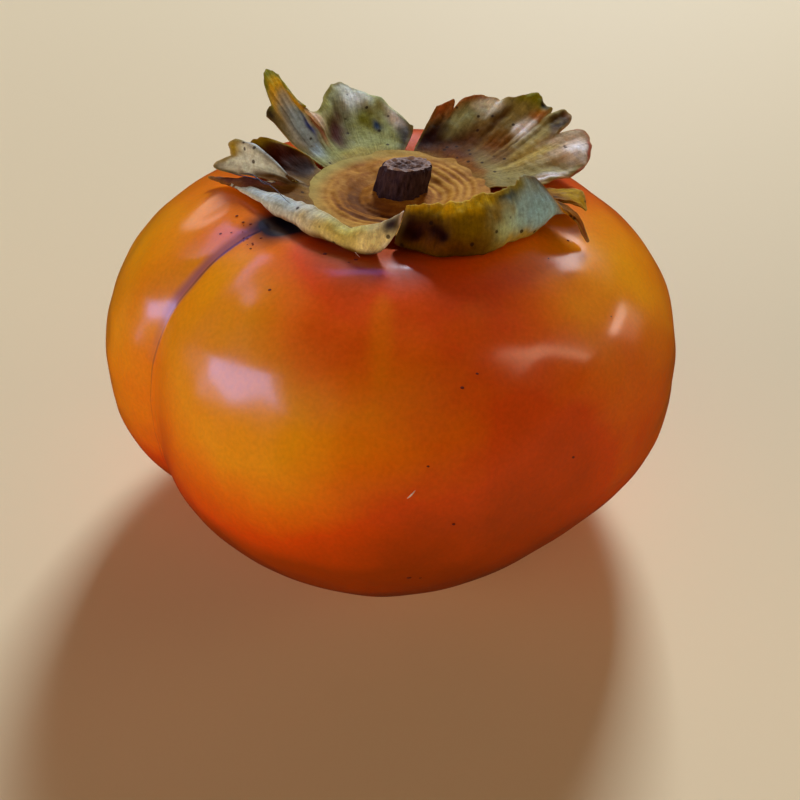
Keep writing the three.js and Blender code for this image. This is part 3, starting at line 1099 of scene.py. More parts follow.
SEPALS = (
    Sepal(
        name="leaf_front_left",
        node="sepal_front_left",
        upper="#7c5c20",
        under="#dce0d8",
        seed=11,
        net=(
            ((259, 11.4, 2.0), (260, 13.5, 1.8), (263, 15.7, 2.5), (269, 15.6, 4.9), (272, 14.1, 6.9)),
            ((254, 11.4, 2.0), (255, 13.4, 1.8), (257, 15.6, 2.2), (260, 15.7, 3.7), (260, 14.0, 4.9)),
            ((246, 11.4, 2.0), (247, 13.4, 1.9), (248, 15.4, 2.2), (248, 15.2, 3.4), (247, 13.7, 4.1)),
            ((232, 11.4, 2.0), (231, 13.3, 2.1), (229, 14.8, 2.3), (229, 14.6, 3.5), (231, 13.0, 4.4)),
            ((214, 11.4, 2.0), (212, 13.4, 2.1), (210, 15.3, 2.3), (210, 15.2, 3.4), (212, 13.2, 4.2)),
            ((200, 11.5, 2.0), (198, 14.0, 2.2), (196, 16.6, 2.3), (195, 16.9, 3.0), (194, 15.6, 3.6)),
            ((190, 11.5, 2.0), (188, 14.5, 2.8), (182, 18.0, 3.0), (174, 21.8, 2.2), (168, 25.4, 1.1)),
            ((184, 11.6, 2.1), (184, 13.0, 2.8), (184, 14.0, 3.3), (183, 15.0, 3.4), (182, 15.9, 3.2)),
            ((178, 11.7, 2.2), (181, 13.4, 3.6), (177, 16.8, 4.2), (171, 21.0, 3.7), (168, 24.8, 2.7)),
            ((176, 11.8, 2.4), (183, 13.3, 4.0), (177, 15.3, 5.5), (170, 18.6, 6.5), (166, 21.8, 6.4)),
            ((169, 11.8, 2.1), (168, 13.8, 2.4), (167, 16.0, 2.6), (165, 18.5, 3.4), (162, 20.6, 5.4)),
            ((163, 11.8, 2.1), (162, 13.6, 2.6), (161, 15.4, 3.3), (160, 17.2, 4.6), (159, 18.8, 6.0)),
            ((157, 11.8, 2.1), (156, 13.0, 2.5), (155, 14.2, 3.2), (154, 15.4, 4.2), (154, 16.2, 5.0)),
            ((151, 11.8, 2.1), (150, 12.3, 2.3), (149, 12.7, 2.6), (149, 13.1, 2.9), (149, 13.4, 3.2)),
        ),
        notches=(Notch(0.645, 0.022, 0.14), Notch(0.56, 0.016, 0.2), Notch(0.73, 0.02, 0.08)),
        marks_and_painted_light=(
            SepalPatch("#807040", 0.85, 0.6, (0.3, 0.8), LOW),
            SepalPatch("#d4cc70", 0.15, 0.84, (0.09, 0.3), LOW),
            SepalPatch("#f8f0b0", 0.06, 0.78, (0.05, 0.12), LOW),
            # Painted shade along the lower edge of the rolled margin.
            SepalPatch("#705010", 0.17, 0.6, (0.14, 0.06), LOW),
            SepalPatch("#a08060", 0.34, 0.6, (0.1, 0.06), LOW),
            SepalPatch("#c0d8e0", 0.36, 0.88, (0.07, 0.14), LOW),
            SepalPatch("#604018", 0.67, 0.34, (0.06, 0.2), LOW),
            # Painted shade inside the rolled end of the margin.
            SepalPatch("#281828", 0.02, 0.93, (0.026, 0.08)),
            # Painted highlight along the rim of the rolled end.
            SepalPatch("#f8e8e0", 0.0, 0.96, (0.01, 0.12)),
            SepalPatch("#e0f4f0", 0.645, 0.72, (0.05, 0.34), UP),
            SepalPatch("#a09030", 0.665, 0.95, (0.03, 0.05), UP),
            SepalPatch("#485048", 0.605, 0.99, (0.02, 0.05), UP),
            SepalPatch("#5a4018", 0.582, 0.6, (0.018, 0.18), UP),
            SepalPatch("#7a4840", 0.49, 0.73, (0.05, 0.2), UP),
            # The dark far wall here and on the next line is partly painted shade, partly the sepal's brown.
            SepalPatch("#541c08", 0.86, 0.66, (0.12, 0.26), UP),
            SepalPatch("#240800", 0.92, 0.36, (0.16, 0.3), UP),
            SepalPatch("#a08810", 0.84, 1.0, (0.16, 0.07), UP),
            SepalPatch("#7a5420", 0.45, 0.33, (0.08, 0.14), UP),
        ),
    ),
    Sepal(
        name="leaf_back_left",
        node="sepal_back_left",
        upper="#a0a868",
        under="#a09420",
        seed=23,
        net=(
            ((147, 11.8, 2.1), (144, 14.6, 2.4), (143, 17.5, 3.2), (142, 20.4, 4.6), (142, 22.6, 5.8)),
            ((143, 11.8, 2.1), (140, 15.0, 2.8), (138, 19.0, 5.0), (136, 23.2, 7.7), (133.5, 26.9, 9.3)),
            ((139, 11.8, 2.1), (136, 15.0, 3.1), (134, 19.0, 5.8), (132.5, 23.2, 8.5), (131, 26.6, 9.9)),
            ((134, 11.8, 2.1), (132, 14.6, 3.2), (131, 17.0, 5.0), (132, 19.0, 6.9), (133, 20.6, 8.0)),
            ((127, 11.8, 2.1), (127, 13.8, 2.6), (127, 15.6, 3.6), (127, 17.2, 4.9), (127, 18.5, 6.2)),
            ((119, 11.8, 2.1), (118, 15.0, 2.8), (116, 18.4, 4.4), (114, 21.4, 6.0), (113, 24.0, 7.2)),
            ((107, 11.8, 2.1), (106, 15.0, 2.8), (105, 18.2, 4.2), (104, 20.8, 5.6), (104, 22.8, 6.2)),
            ((96, 11.8, 2.1), (96, 14.0, 2.6), (96, 16.4, 3.6), (95, 18.6, 4.8), (95, 20.0, 5.2)),
            ((86, 11.7, 2.1), (85, 12.6, 2.3), (84, 13.6, 2.7), (83, 14.8, 3.2), (83, 15.8, 3.7)),
        ),
        notches=(Notch(0.06, 0.025, 0.12),),
        marks_and_painted_light=(
            SepalPatch("#b0b8b0", 0.12, 0.6, (0.1, 0.2), UP),
            SepalPatch("#a8c8e0", 0.22, 0.56, (0.09, 0.2), UP),
            SepalPatch("#3848a0", 0.3, 0.54, (0.03, 0.07), UP),
            SepalPatch("#d8b010", 0.22, 0.86, (0.16, 0.12), UP),
            SepalPatch("#c09c10", 0.34, 0.84, (0.05, 0.14), UP),
            SepalPatch("#788000", 0.18, 1.0, (0.12, 0.08)),
            # Painted shade inside the curled tip.
            SepalPatch("#180408", 0.0, 0.96, (0.06, 0.22)),
            SepalPatch("#a06040", 0.4, 0.62, (0.04, 0.18), UP),
            SepalPatch("#f0d0b0", 0.46, 0.84, (0.04, 0.14), UP),
            SepalPatch("#888020", 0.6, 0.97, (0.08, 0.07)),
            # Near-white slope, partly a painted highlight over pale grey.
            SepalPatch("#e8f4ec", 0.71, 0.82, (0.06, 0.16), UP),
            SepalPatch("#481808", 0.56, 0.54, (0.08, 0.22), UP),
            SepalPatch("#808010", 0.75, 0.58, (0.05, 0.12), UP),
            SepalPatch("#203858", 0.82, 0.53, (0.025, 0.05), UP),
            SepalPatch("#f0ece0", 0.93, 0.78, (0.05, 0.12), UP),
            SepalPatch("#200804", 1.0, 0.55, (0.05, 0.5)),
            SepalPatch("#b0a850", 0.6, 0.18, (0.16, 0.08), UP),
        ),
    ),
    Sepal(
        name="leaf_back_right",
        node="sepal_back_right",
        upper="#988c50",
        under="#946020",
        seed=37,
        net=(
            ((80, 11.7, 2.1), (79, 13.0, 2.6), (77, 14.6, 3.6), (75, 16.2, 4.8), (73, 17.6, 6.2)),
            ((71, 11.7, 2.1), (70, 13.6, 2.7), (68, 16.0, 4.2), (66, 18.0, 5.9), (65, 19.2, 7.0)),
            ((60, 11.7, 2.1), (60, 14.2, 2.8), (59, 16.8, 4.3), (58, 19.2, 6.0), (57, 20.8, 7.3)),
            ((50, 11.7, 2.1), (49, 14.6, 2.8), (48, 17.8, 4.4), (48, 20.6, 6.2), (47, 22.2, 7.5)),
            ((42, 11.7, 2.1), (42, 15.0, 2.8), (42, 19.0, 4.6), (42, 22.6, 6.6), (42, 25.2, 7.8)),
            ((34, 11.7, 2.1), (35, 15.0, 2.6), (36, 19.0, 4.0), (37, 22.8, 5.6), (38, 25.4, 6.6)),
            ((27, 11.7, 2.1), (28, 15.0, 2.5), (30, 19.0, 3.6), (32, 23.4, 5.0), (33, 27.6, 6.0)),
            ((18, 11.7, 2.1), (19, 15.0, 2.3), (20, 19.5, 3.2), (21, 24.0, 4.2), (22, 27.2, 4.2)),
            ((10, 11.7, 2.1), (10, 14.4, 2.1), (10, 18.0, 2.3), (11, 21.6, 2.7), (12, 24.4, 2.6)),
            ((3, 11.7, 2.1), (3, 13.2, 2.1), (3, 15.0, 2.1), (4, 16.8, 2.1), (4, 18.4, 2.1)),
        ),
        notches=(
            Notch(0.115, 0.012, 0.2),
            Notch(0.61, 0.014, 0.1),
            Notch(0.715, 0.013, 0.2),
            Notch(0.3, 0.01, 0.05),
        ),
        marks_and_painted_light=(
            SepalPatch("#684420", 0.26, 0.42, (0.16, 0.2), UP),
            SepalPatch("#280c04", 0.06, 0.4, (0.14, 0.34), UP),
            SepalPatch("#a05820", 0.04, 0.94, (0.09, 0.18)),
            SepalPatch("#a06030", 0.19, 1.0, (0.08, 0.08)),
            SepalPatch("#60300c", 0.3, 0.2, (0.2, 0.12), UP),
            SepalPatch("#98581c", 0.56, 0.15, (0.22, 0.07), UP),
            # Painted highlight, partly pale cuticle.
            SepalPatch("#f0f8f0", 0.28, 0.86, (0.05, 0.1), UP),
            SepalPatch("#a0a878", 0.2, 0.66, (0.05, 0.14), UP),
            SepalPatch("#584018", 0.36, 0.68, (0.03, 0.16), UP),
            SepalPatch("#805018", 0.5, 0.46, (0.08, 0.1), UP),
            SepalPatch("#b06820", 0.56, 0.86, (0.04, 0.08), UP),
            # Painted highlight.
            SepalPatch("#ffffff", 0.56, 0.68, (0.05, 0.07), UP),
            SepalPatch("#888800", 0.46, 0.97, (0.09, 0.1)),
            SepalPatch("#100c00", 0.545, 1.0, (0.025, 0.06)),
            SepalPatch("#483000", 0.67, 0.93, (0.03, 0.09)),
            SepalPatch("#201000", 0.695, 0.86, (0.02, 0.05), UP),
            SepalPatch("#d8c0a8", 0.78, 0.8, (0.05, 0.14), UP),
            # Painted highlights, here and on the next line.
            SepalPatch("#ffffff", 0.82, 0.86, (0.03, 0.08), UP),
            SepalPatch("#ffffff", 0.94, 0.74, (0.04, 0.12), UP),
            SepalPatch("#a04838", 0.85, 1.0, (0.12, 0.04)),
            SepalPatch("#b8a050", 0.74, 0.54, (0.05, 0.16), UP),
            SepalPatch("#806030", 0.63, 0.42, (0.06, 0.12), UP),
        ),
    ),
    Sepal(
        name="leaf_front_right",
        node="sepal_front_right",
        upper="#90580c",
        under="#887000",
        seed=41,
        net=(
            ((-6, 11.5, 2.0), (-4, 13.0, 2.1), (-2, 14.5, 2.1), (-1, 16.0, 2.1), (0, 17.4, 2.1)),
            ((-14, 11.5, 2.0), (-11, 14.6, 2.2), (-8, 17.6, 2.4), (-5, 20.4, 2.4), (-3, 22.6, 2.2)),
            ((-24, 11.4, 2.0), (-23, 15.0, 2.4), (-22, 18.6, 3.6), (-22, 21.8, 3.0), (-23, 24.6, 0.1)),
            ((-31, 11.4, 2.0), (-31, 15.0, 1.8), (-32, 18.4, 1.8), (-31, 19.6, 4.6), (-31, 17.4, 8.4)),
            ((-46, 11.4, 2.0), (-46, 15.0, 1.8), (-46, 18.0, 2.4), (-44, 18.4, 5.0), (-41, 16.3, 8.3)),
            ((-60, 11.4, 2.0), (-60, 15.0, 1.8), (-60, 18.0, 2.4), (-57, 17.6, 5.0), (-54, 15.0, 7.8)),
            ((-74, 11.4, 2.0), (-74, 14.2, 1.8), (-74, 16.8, 2.4), (-71, 16.2, 4.8), (-68, 13.5, 7.0)),
            ((-90, 11.4, 2.0), (-92, 12.8, 1.9), (-92, 13.6, 2.6), (-89, 13.2, 4.6), (-86, 12.2, 6.6)),
        ),
        notches=(Notch(0.235, 0.018, 0.4),),
        marks_and_painted_light=(
            SepalPatch("#886c00", 0.75, 0.88, (0.2, 0.12), LOW),
            SepalPatch("#f0c400", 0.88, 1.0, (0.14, 0.07), LOW),
            SepalPatch("#c8a400", 0.7, 1.0, (0.14, 0.07), LOW),
            SepalPatch("#8c8400", 0.55, 1.0, (0.1, 0.08), LOW),
            SepalPatch("#503000", 0.42, 1.0, (0.04, 0.05), LOW),
            SepalPatch("#3c1800", 0.95, 0.78, (0.1, 0.16), LOW),
            SepalPatch("#643800", 0.82, 0.66, (0.12, 0.1), LOW),
            SepalPatch("#200400", 0.88, 0.79, (0.02, 0.045), LOW),
            SepalPatch("#200400", 0.95, 0.74, (0.03, 0.05), LOW),
            SepalPatch("#483000", 0.85, 0.54, (0.2, 0.1), LOW),
            SepalPatch("#383000", 0.6, 0.95, (0.035, 0.025), LOW),
            SepalPatch("#c8d890", 0.6, 0.78, (0.06, 0.09), LOW),
            SepalPatch("#a8d8e8", 0.48, 0.83, (0.11, 0.11), LOW),
            SepalPatch("#c0a848", 0.5, 0.64, (0.12, 0.06), LOW),
            SepalPatch("#e09c00", 0.35, 0.96, (0.03, 0.1), LOW),
            SepalPatch("#b08c10", 0.14, 0.88, (0.06, 0.14), UP),
            SepalPatch("#7c3c08", 0.29, 0.98, (0.05, 0.12)),
            SepalPatch("#402400", 0.25, 0.66, (0.05, 0.12), UP),
        ),
    ),
)


@dataclass
class CalyxDisc:
    """The round woody middle of the calyx, turned from one profile with growth rings."""

    radius: float = 11.3
    floor: float = 1.5
    edge: float = 2.1
    hollow: float = 0.55
    hollow_radius: float = 5.2
    hollow_width: float = 1.4
    ridge: float = 0.05
    ridge_spacing: float = 1.05
    ridge_low: float = 0.12
    ridge_sectors: tuple[Sector, ...] = (Sector(32, 34, 0.7), Sector(232, 36, 0.45))
    ridge_starts: tuple[float, float] = (3.4, 4.6)
    ridge_ends: tuple[float, float] = (11.0, 8.5)
    wander: Waves = Waves(0.35, 9, 51)
    lumps: Waves = Waves(0.12, 3.2, 52)
    mottle: Waves = Waves(0.12, 4, 53)
    rough: float = 0.5
    rough_size: float = 2.6
    upper_height: float = 0.9
    smooth_rim: tuple[float, float] = (8.4, 10.0)
    lumpy_from: tuple[float, float] = (1, 4)
    base_depth: float = 0.28
    # Painted shade in the front-left hollow and ring and round the stalk's foot, and painted light on the
    # ridges.
    shaded_hollow: Sector = Sector(214, 56, 1.1)
    shaded_hollow_band: tuple[float, float] = (5.5, 1.3)
    shaded_ring: Sector = Sector(236, 34, 0.95)
    shaded_ring_band: tuple[float, float] = (8.0, 0.5)
    stalk_foot_shade: float = 0.25
    stalk_foot_shade_band: tuple[float, float] = (3.6, 0.8)
    ridge_painted_light: float = 0.4
    pale_rim: Sector = Sector(140, 70, 0.8)
    pale_rim_from: tuple[float, float] = (8.6, 10.8)
    under: float = 0.55
    thinnest: float = 0.02
    around: int = 240
    steps: int = 150

    def profile(self) -> Array:
        """Distance and height from the middle of the top, over the rim and back under to the middle.

        Returns:
            The profile's points, with heights counted from the bottom of the calyx.
        """
        r = np.linspace(0, self.radius, self.steps)
        out = r / self.radius
        top = self.floor + (self.edge - self.floor) * out**2
        top = top - self.hollow * bell((r - self.hollow_radius) / self.hollow_width)
        drop = (top - self.under) * (1 - out**6)
        under = top - np.maximum(drop, self.thinnest)
        return np.concatenate([np.stack([r, top], -1), np.stack([r, under], -1)[-2::-1]])

    def tree(self) -> Tree:
        """A geometry tree that turns a profile round the vertical axis and roughens it like cork.

        Returns:
            The tree.
        """
        sizes = {"Around": 64, "Points": 10, "Rough": 0.1 * MM, "Rough Size": 2.0 * MM}
        tree, source = new_geometry_tree("turned_disc", {**sizes, "Middle X": 0.0, "Middle Y": 0.0})
        size = source.outputs
        turns = add(tree, "ShaderNodeMath", {0: size["Around"], 1: 1.0}, operation="ADD")
        counts = {"Size X": 1.0, "Size Y": 1.0, "Vertices X": turns, "Vertices Y": size["Points"]}
        grid = add(tree, "GeometryNodeMeshGrid", counts)
        index = add(tree, "GeometryNodeInputIndex")
        position = add(tree, "GeometryNodeInputPosition")
        nearest = add(tree, "ShaderNodeMath", {0: index, 1: size["Points"]}, operation="MODULO")
        picked = {"Geometry": size["Geometry"], "Value": position, "Index": nearest}
        sample = add(tree, "GeometryNodeSampleIndex", picked, data_type="FLOAT_VECTOR")
        lane = add(tree, "ShaderNodeMath", {0: index, 1: size["Points"]}, operation="DIVIDE")
        lane = add(tree, "ShaderNodeMath", {0: lane}, operation="FLOOR")
        share = add(tree, "ShaderNodeMath", {0: lane, 1: size["Around"]}, operation="DIVIDE")
        angle = add(tree, "ShaderNodeMath", {0: share, 1: 2 * math.pi}, operation="MULTIPLY")
        spin = {"Vector": sample, "Angle": angle, "Axis": (0.0, 0.0, 1.0)}
        turned = add(tree, "ShaderNodeVectorRotate", spin)
        middle = add(tree, "ShaderNodeCombineXYZ", {0: size["Middle X"], 1: size["Middle Y"]})
        moved = add(tree, "ShaderNodeVectorMath", {0: turned, 1: middle}, operation="ADD")
        laid = add(tree, "GeometryNodeSetPosition", {"Geometry": grid, "Position": moved})
        scale = add(tree, "ShaderNodeMath", {0: 1.0, 1: size["Rough Size"]}, operation="DIVIDE")
        noise = add(tree, "ShaderNodeTexNoise", {"Vector": position, "Scale": scale, "Detail": 3.0})
        centred = add(tree, "ShaderNodeMath", {0: noise, 1: 0.5}, operation="SUBTRACT")
        lift = add(tree, "ShaderNodeMath", {0: centred, 1: size["Rough"]}, operation="MULTIPLY")
        shift = add(tree, "ShaderNodeCombineXYZ", {2: lift})
        rough = add(tree, "GeometryNodeSetPosition", {"Geometry": laid, "Offset": shift})
        joined = add(tree, "GeometryNodeMergeByDistance", {"Geometry": rough, "Distance": 0.01 * MM})
        end_geometry_tree(tree, joined, source)
        return tree

    def build(self, finish: Material) -> None:
        """Makes the disc, with its growth rings and the marks that its finish reads.

        Args:
            finish: the disc's material.
        """
        profile = self.profile()
        points = np.stack([profile[:, 0], 0 * profile[:, 0], profile[:, 1] + CALYX[2]], -1)
        piece = new_mesh("calyx_plate", points, [], chained=True)
        sizes = {"Around": self.around, "Points": len(points), "Rough": self.rough * MM}
        sizes |= {"Rough Size": self.rough_size * MM, "Material": finish}
        grow(piece, self.tree(), {**sizes, "Middle X": CALYX[0] * MM, "Middle Y": CALYX[1] * MM})
        co = np.zeros(len(piece.data.vertices) * 3, np.float32)
        piece.data.vertices.foreach_get("co", co)
        place = co.reshape(-1, 3) / MM - CALYX
        reach, azimuth = np.hypot(place[:, 0], place[:, 1]), np.degrees(np.arctan2(place[:, 1], place[:, 0]))
        wander = reach + self.wander.over(place)
        ring = self.ridge_low + sum(sector.at(azimuth) for sector in self.ridge_sectors)
        ring = ring * np.sin(2 * np.pi * wander / self.ridge_spacing)
        ring = ring * step(reach, *self.ridge_starts) * step(reach, *self.ridge_ends)
        upper = place[:, 2] > self.upper_height
        # The cork's roughness fades out towards the rim.
        smooth = self.edge - (self.edge - self.floor) * (1 - (reach / self.radius) ** 2)
        place[:, 2] += np.where(upper, (smooth - place[:, 2]) * step(reach, *self.smooth_rim), 0)
        # Growth rings and lumps start outside the very middle.
        lumps = self.lumps.over(place) * step(reach, *self.lumpy_from)
        place[:, 2] += np.where(upper, self.ridge * ring + lumps, 0)
        piece.data.vertices.foreach_set("co", ((place + CALYX) * MM).astype(np.float32).ravel())
        piece.data.update()
        set_attribute(piece, "hollow", self.depth(place, reach, azimuth, wander, ring))
        set_attribute(piece, "edge", self.pale_rim.at(azimuth) * step(reach, *self.pale_rim_from))
        settle(piece, "calyx", "calyx_disc")

    def depth(self, place: Array, reach: Array, azimuth: Array, wander: Array, ring: Array) -> Array:
        """How dark the cork is coloured, from 0 on a ridge to 1 in a hollow: its own mottling, painted shade
        in the front-left hollows and round the stalk's foot, and painted light on the ridges.

        Args:
            place: the disc's points, counted from the middle of the calyx.
            reach: their distances from the axis.
            azimuth: their directions.
            wander: their distances as the growth rings count them.
            ring: how far the growth rings rise there.

        Returns:
            Depths from 0 to 1.
        """
        bands = (self.shaded_hollow_band, self.shaded_ring_band, self.stalk_foot_shade_band)
        hollow, dark, foot = (
            bell((distance - middle) / width)
            for distance, (middle, width) in zip((wander, wander, reach), bands)
        )
        # Painted shade in the front-left hollow and ring and round the stalk's foot; painted light on the
        # ridges.
        deep = self.base_depth + self.shaded_hollow.at(azimuth) * hollow + self.shaded_ring.at(azimuth) * dark
        deep += self.stalk_foot_shade * foot - self.ridge_painted_light * ring + self.mottle.over(place)
        return np.clip(deep, 0, 1)


@dataclass
class StalkStub:
    """The stub of the stalk: a short leaning cone of bark with a slanted, rough cut."""

    foot: Row = (1.06, 1.0, 48.6)
    radii: tuple[float, float] = (3.3, 3.1)
    height: float = 3.55
    lean: float = 0.9
    slant: float = 0.14
    furrows: Waves = Waves(0.16, 1.1, 5)
    chips: Waves = Waves(0.1, 0.7, 6)
    saw_marks: Waves = Waves(0.16, 0.9, 7)
    # Radius and height of the even cylinder on which furrows and chips are laid out.
    trunk: tuple[float, float] = (3.0, 2.0)
    worn_edge: float = 0.25
    worn_share: float = 0.06
    cut_rise: float = 0.25
    cut_rim: float = 0.12
    cut_rim_band: tuple[float, float] = (0.85, 0.1)
    pith: tuple[float, float] = (0.85, 0.6)
    around: int = 160
    levels: int = 60
    rings: int = 40
    innermost: float = 0.02

    def build(self, finish: Material) -> None:
        """Makes the stub, with the marks that its finish reads.

        Args:
            finish: the stub's material.
        """
        up = np.concatenate([np.linspace(0, 1, self.levels), np.ones(self.rings)])
        inward = np.concatenate([np.ones(self.levels), np.linspace(1, self.innermost, self.rings)])
        turn = np.linspace(0, 2 * np.pi, self.around, endpoint=False)
        angle, share = np.meshgrid(turn, up, indexing="ij")
        shrink = np.broadcast_to(inward, angle.shape)
        cut = np.broadcast_to(np.concatenate([np.zeros(self.levels), np.ones(self.rings)]), angle.shape)
        circle = np.stack([np.cos(angle), np.sin(angle)], -1)
        round_it = circle * self.trunk[0]
        trunk = np.concatenate([round_it, share[..., None] * self.trunk[1]], -1)
        bark = self.furrows.over(round_it) + self.chips.over(trunk)
        radius = self.radii[0] + (self.radii[1] - self.radii[0]) * share + bark
        radius = radius - self.worn_edge * bell((share - 1) / self.worn_share) * shrink
        radius = radius * shrink
        x = self.foot[0] + radius * circle[..., 0] + self.lean * share
        y = self.foot[1] + radius * circle[..., 1]
        middle, width = self.cut_rim_band
        rim = self.cut_rim * bell((shrink - middle) / width)
        rough = cut * (self.saw_marks.over(np.stack([x, y], -1)) - self.cut_rise * (1 - shrink) + rim)
        z = self.foot[2] + self.height * share - self.slant * share * radius * circle[..., 1] + rough
        points = np.stack([x, y, z], -1)
        piece = new_mesh("stalk_stub", *closed_tube(points, points[:, 0].mean(0), points[:, -1].mean(0)))
        set_attribute(piece, "cut", np.append(cut.ravel(), [0, 1]))
        set_attribute(piece, "pith", np.append((cut * step(shrink, *self.pith)).ravel(), [0, 1]))
        piece.data.materials.append(finish)
        settle(piece, "bark", "stem_stub")


# ---------------------------------------------------------------- specks and stray fibres
@dataclass(frozen=True)
class Fleck:
    """A corky speck on the skin, by azimuth, latitude and radius."""

    azimuth: float
    latitude: float
    radius: float


@dataclass(frozen=True)
class Group:
    """A loose group of small specks, by its middle, its spread in degrees and their number."""

    azimuth: float
    latitude: float
    spread: float
    count: int


@dataclass(frozen=True)
class CorkFleck:
    """Dead cork in a lenticel: dark reddish brown and quite matt."""

    tone: str = "#6a2408"
    roughness: float = 0.8

    def make(self) -> Material:
        """Builds the material."""
        surface = {"Base Color": linear(self.tone), "Roughness": self.roughness, "IOR": 1.4}
        return new_material("cork_fleck", surface)[0]


@dataclass(frozen=True)
class LooseFibre:
    """A loose plant fibre: a thin, slightly shiny thread."""

    name: str
    tone: str
    roughness: float = 0.45

    def make(self) -> Material:
        """Builds the material."""
        surface = {"Base Color": linear(self.tone), "Roughness": self.roughness, "IOR": 1.5}
        return new_material(self.name, surface)[0]


@dataclass
class Flecks:
    """The specks of the skin: flat grains lying on it."""

    flecks: tuple[Fleck, ...] = (
        Fleck(284, 38, 0.22),
        Fleck(276, 22, 0.17),
        Fleck(280, 7, 0.2),
        Fleck(306, 11, 0.25),
        Fleck(272, -6, 0.34),
        Fleck(274, -7, 0.2),
        Fleck(244, 70, 0.26),
        Fleck(257, 70, 0.28),
        Fleck(236, 57, 0.2),
        Fleck(60, 20, 0.25),
        Fleck(150, 30, 0.25),
        Fleck(20, -10, 0.25),
    )
    groups: tuple[Group, ...] = (
        Group(207, 64.5, 2.4, 12),
        Group(216, 63, 1.6, 5),
        Group(252, 69, 2.2, 6),
        Group(330, 30, 24, 6),
        Group(100, 10, 40, 8),
    )
    stretch: float = 0.65
    flatness: float = 0.35
    detail: int = 2
    seed: int = 61
    widening: float = 1.6
    grain_radii: tuple[float, float] = (0.08, 0.2)

    def tree(self) -> Tree:
        """A geometry tree that lays a flat grain on each point, square to its stored normal.

        Returns:
            The tree.
        """
        tree, source = new_geometry_tree("scattered_grains", {"Flatness": 0.3, "Stretch": 1.0, "Detail": 2})
        size = source.outputs
        normal = add(tree, "GeometryNodeInputNamedAttribute", {"Name": "facing"}, data_type="FLOAT_VECTOR")
        girth = add(tree, "GeometryNodeInputNamedAttribute", {"Name": "girth"}, data_type="FLOAT")
        grain = add(tree, "GeometryNodeMeshIcoSphere", {"Radius": 1.0, "Subdivisions": size["Detail"]})
        thin = add(tree, "ShaderNodeMath", {0: girth, 1: size["Flatness"]}, operation="MULTIPLY")
        narrow = add(tree, "ShaderNodeMath", {0: girth, 1: size["Stretch"]}, operation="MULTIPLY")
        scale = add(tree, "ShaderNodeCombineXYZ", {0: girth, 1: narrow, 2: thin})
        turn = add(tree, "FunctionNodeAlignRotationToVector", {"Vector": normal}, axis="Z")
        points = add(tree, "GeometryNodeMeshToPoints", {"Mesh": size["Geometry"]})
        placing = {"Points": points, "Instance": grain, "Rotation": turn, "Scale": scale}
        laid = add(tree, "GeometryNodeInstanceOnPoints", placing)
        end_geometry_tree(tree, laid, source)
        return tree

    def build(self, fruit: Fruit, finish: Material) -> None:
        """Makes the specks.

        Args:
            fruit: the fruit that they lie on.
            finish: their material.
        """
        draw = np.random.default_rng(self.seed)
        table = [(f.azimuth, f.latitude, f.radius) for f in self.flecks]
        for group in self.groups:
            for _ in range(group.count):
                aside, up = draw.normal(0, group.spread, 2)
                radius = draw.uniform(*self.grain_radii)
                table.append((group.azimuth + self.widening * aside, group.latitude + up, radius))
        table = np.array(table)
        points, normals = fruit.place(table[:, 0], table[:, 1])
        piece = new_mesh("skin_flecks", points, [])
        set_attribute(piece, "facing", normals)
        set_attribute(piece, "girth", table[:, 2] * MM)
        sizes = {"Flatness": self.flatness, "Stretch": self.stretch, "Detail": self.detail}
        grow(piece, self.tree(), {**sizes, "Material": finish})
        settle(piece, "skin")


@dataclass
class Strand:
    """A thread through points, thin at both ends."""

    name: str
    slot: str
    points: Array
    radius: float
    sides: int = 8

    @staticmethod
    def tree() -> Tree:
        """A geometry tree that makes a tapered tube of each chain of edges.

        Returns:
            The tree.
        """
        tree, source = new_geometry_tree("tapered_thread", {"Radius": 0.1 * MM, "Sides": 8})
        size = source.outputs
        curve = add(tree, "GeometryNodeMeshToCurve", {"Mesh": size["Geometry"]})
        along = add(tree, "GeometryNodeSplineParameter")
        belly = add(tree, "ShaderNodeMath", {0: along.outputs["Factor"], 1: math.pi}, operation="MULTIPLY")
        belly = add(tree, "ShaderNodeMath", {0: belly}, operation="SINE")
        # The tips are a quarter as thick as the middle.
        girth = add(tree, "ShaderNodeMapRange", {"Value": belly, 3: 0.25})
        sized = add(tree, "GeometryNodeSetCurveRadius", {"Curve": curve, "Radius": girth})
        ring = {"Resolution": size["Sides"], "Radius": size["Radius"]}
        profile = add(tree, "GeometryNodeCurvePrimitiveCircle", ring)
        sweep = {"Curve": sized, "Profile Curve": profile, "Scale": girth, "Fill Caps": True}
        tube = add(tree, "GeometryNodeCurveToMesh", sweep)
        end_geometry_tree(tree, tube, source)
        return tree

    def build(self, finish: Material) -> None:
        """Makes the thread.

        Args:
            finish: its material.
        """
        piece = new_mesh(self.name, self.points, [], chained=True)
        sizes = {"Radius": self.radius * MM, "Sides": self.sides, "Material": finish}
        grow(piece, self.tree(), sizes)
        settle(piece, self.slot)


def skin_strand(
    fruit: Fruit, name: str, path: tuple[tuple[float, float], ...], radius: float, lift: float
) -> Strand:
    """A thread that lies on the skin.

    Args:
        fruit: the fruit under it.
        name: the piece's name.
        path: azimuths and latitudes that it passes through.
        radius: half its thickness.
        lift: how high its middle arches over the skin.

    Returns:
        The thread.
    """
    stops = 24
    share = np.linspace(0, 1, stops)
    knots = np.linspace(0, 1, len(path))
    azimuth, latitude = (np.interp(share, knots, [p[i] for p in path]) for i in (0, 1))
    points, normals = fruit.place(azimuth, latitude)
    return Strand(name, "skin", points + normals * (radius + lift * np.sin(np.pi * share))[:, None], radius)


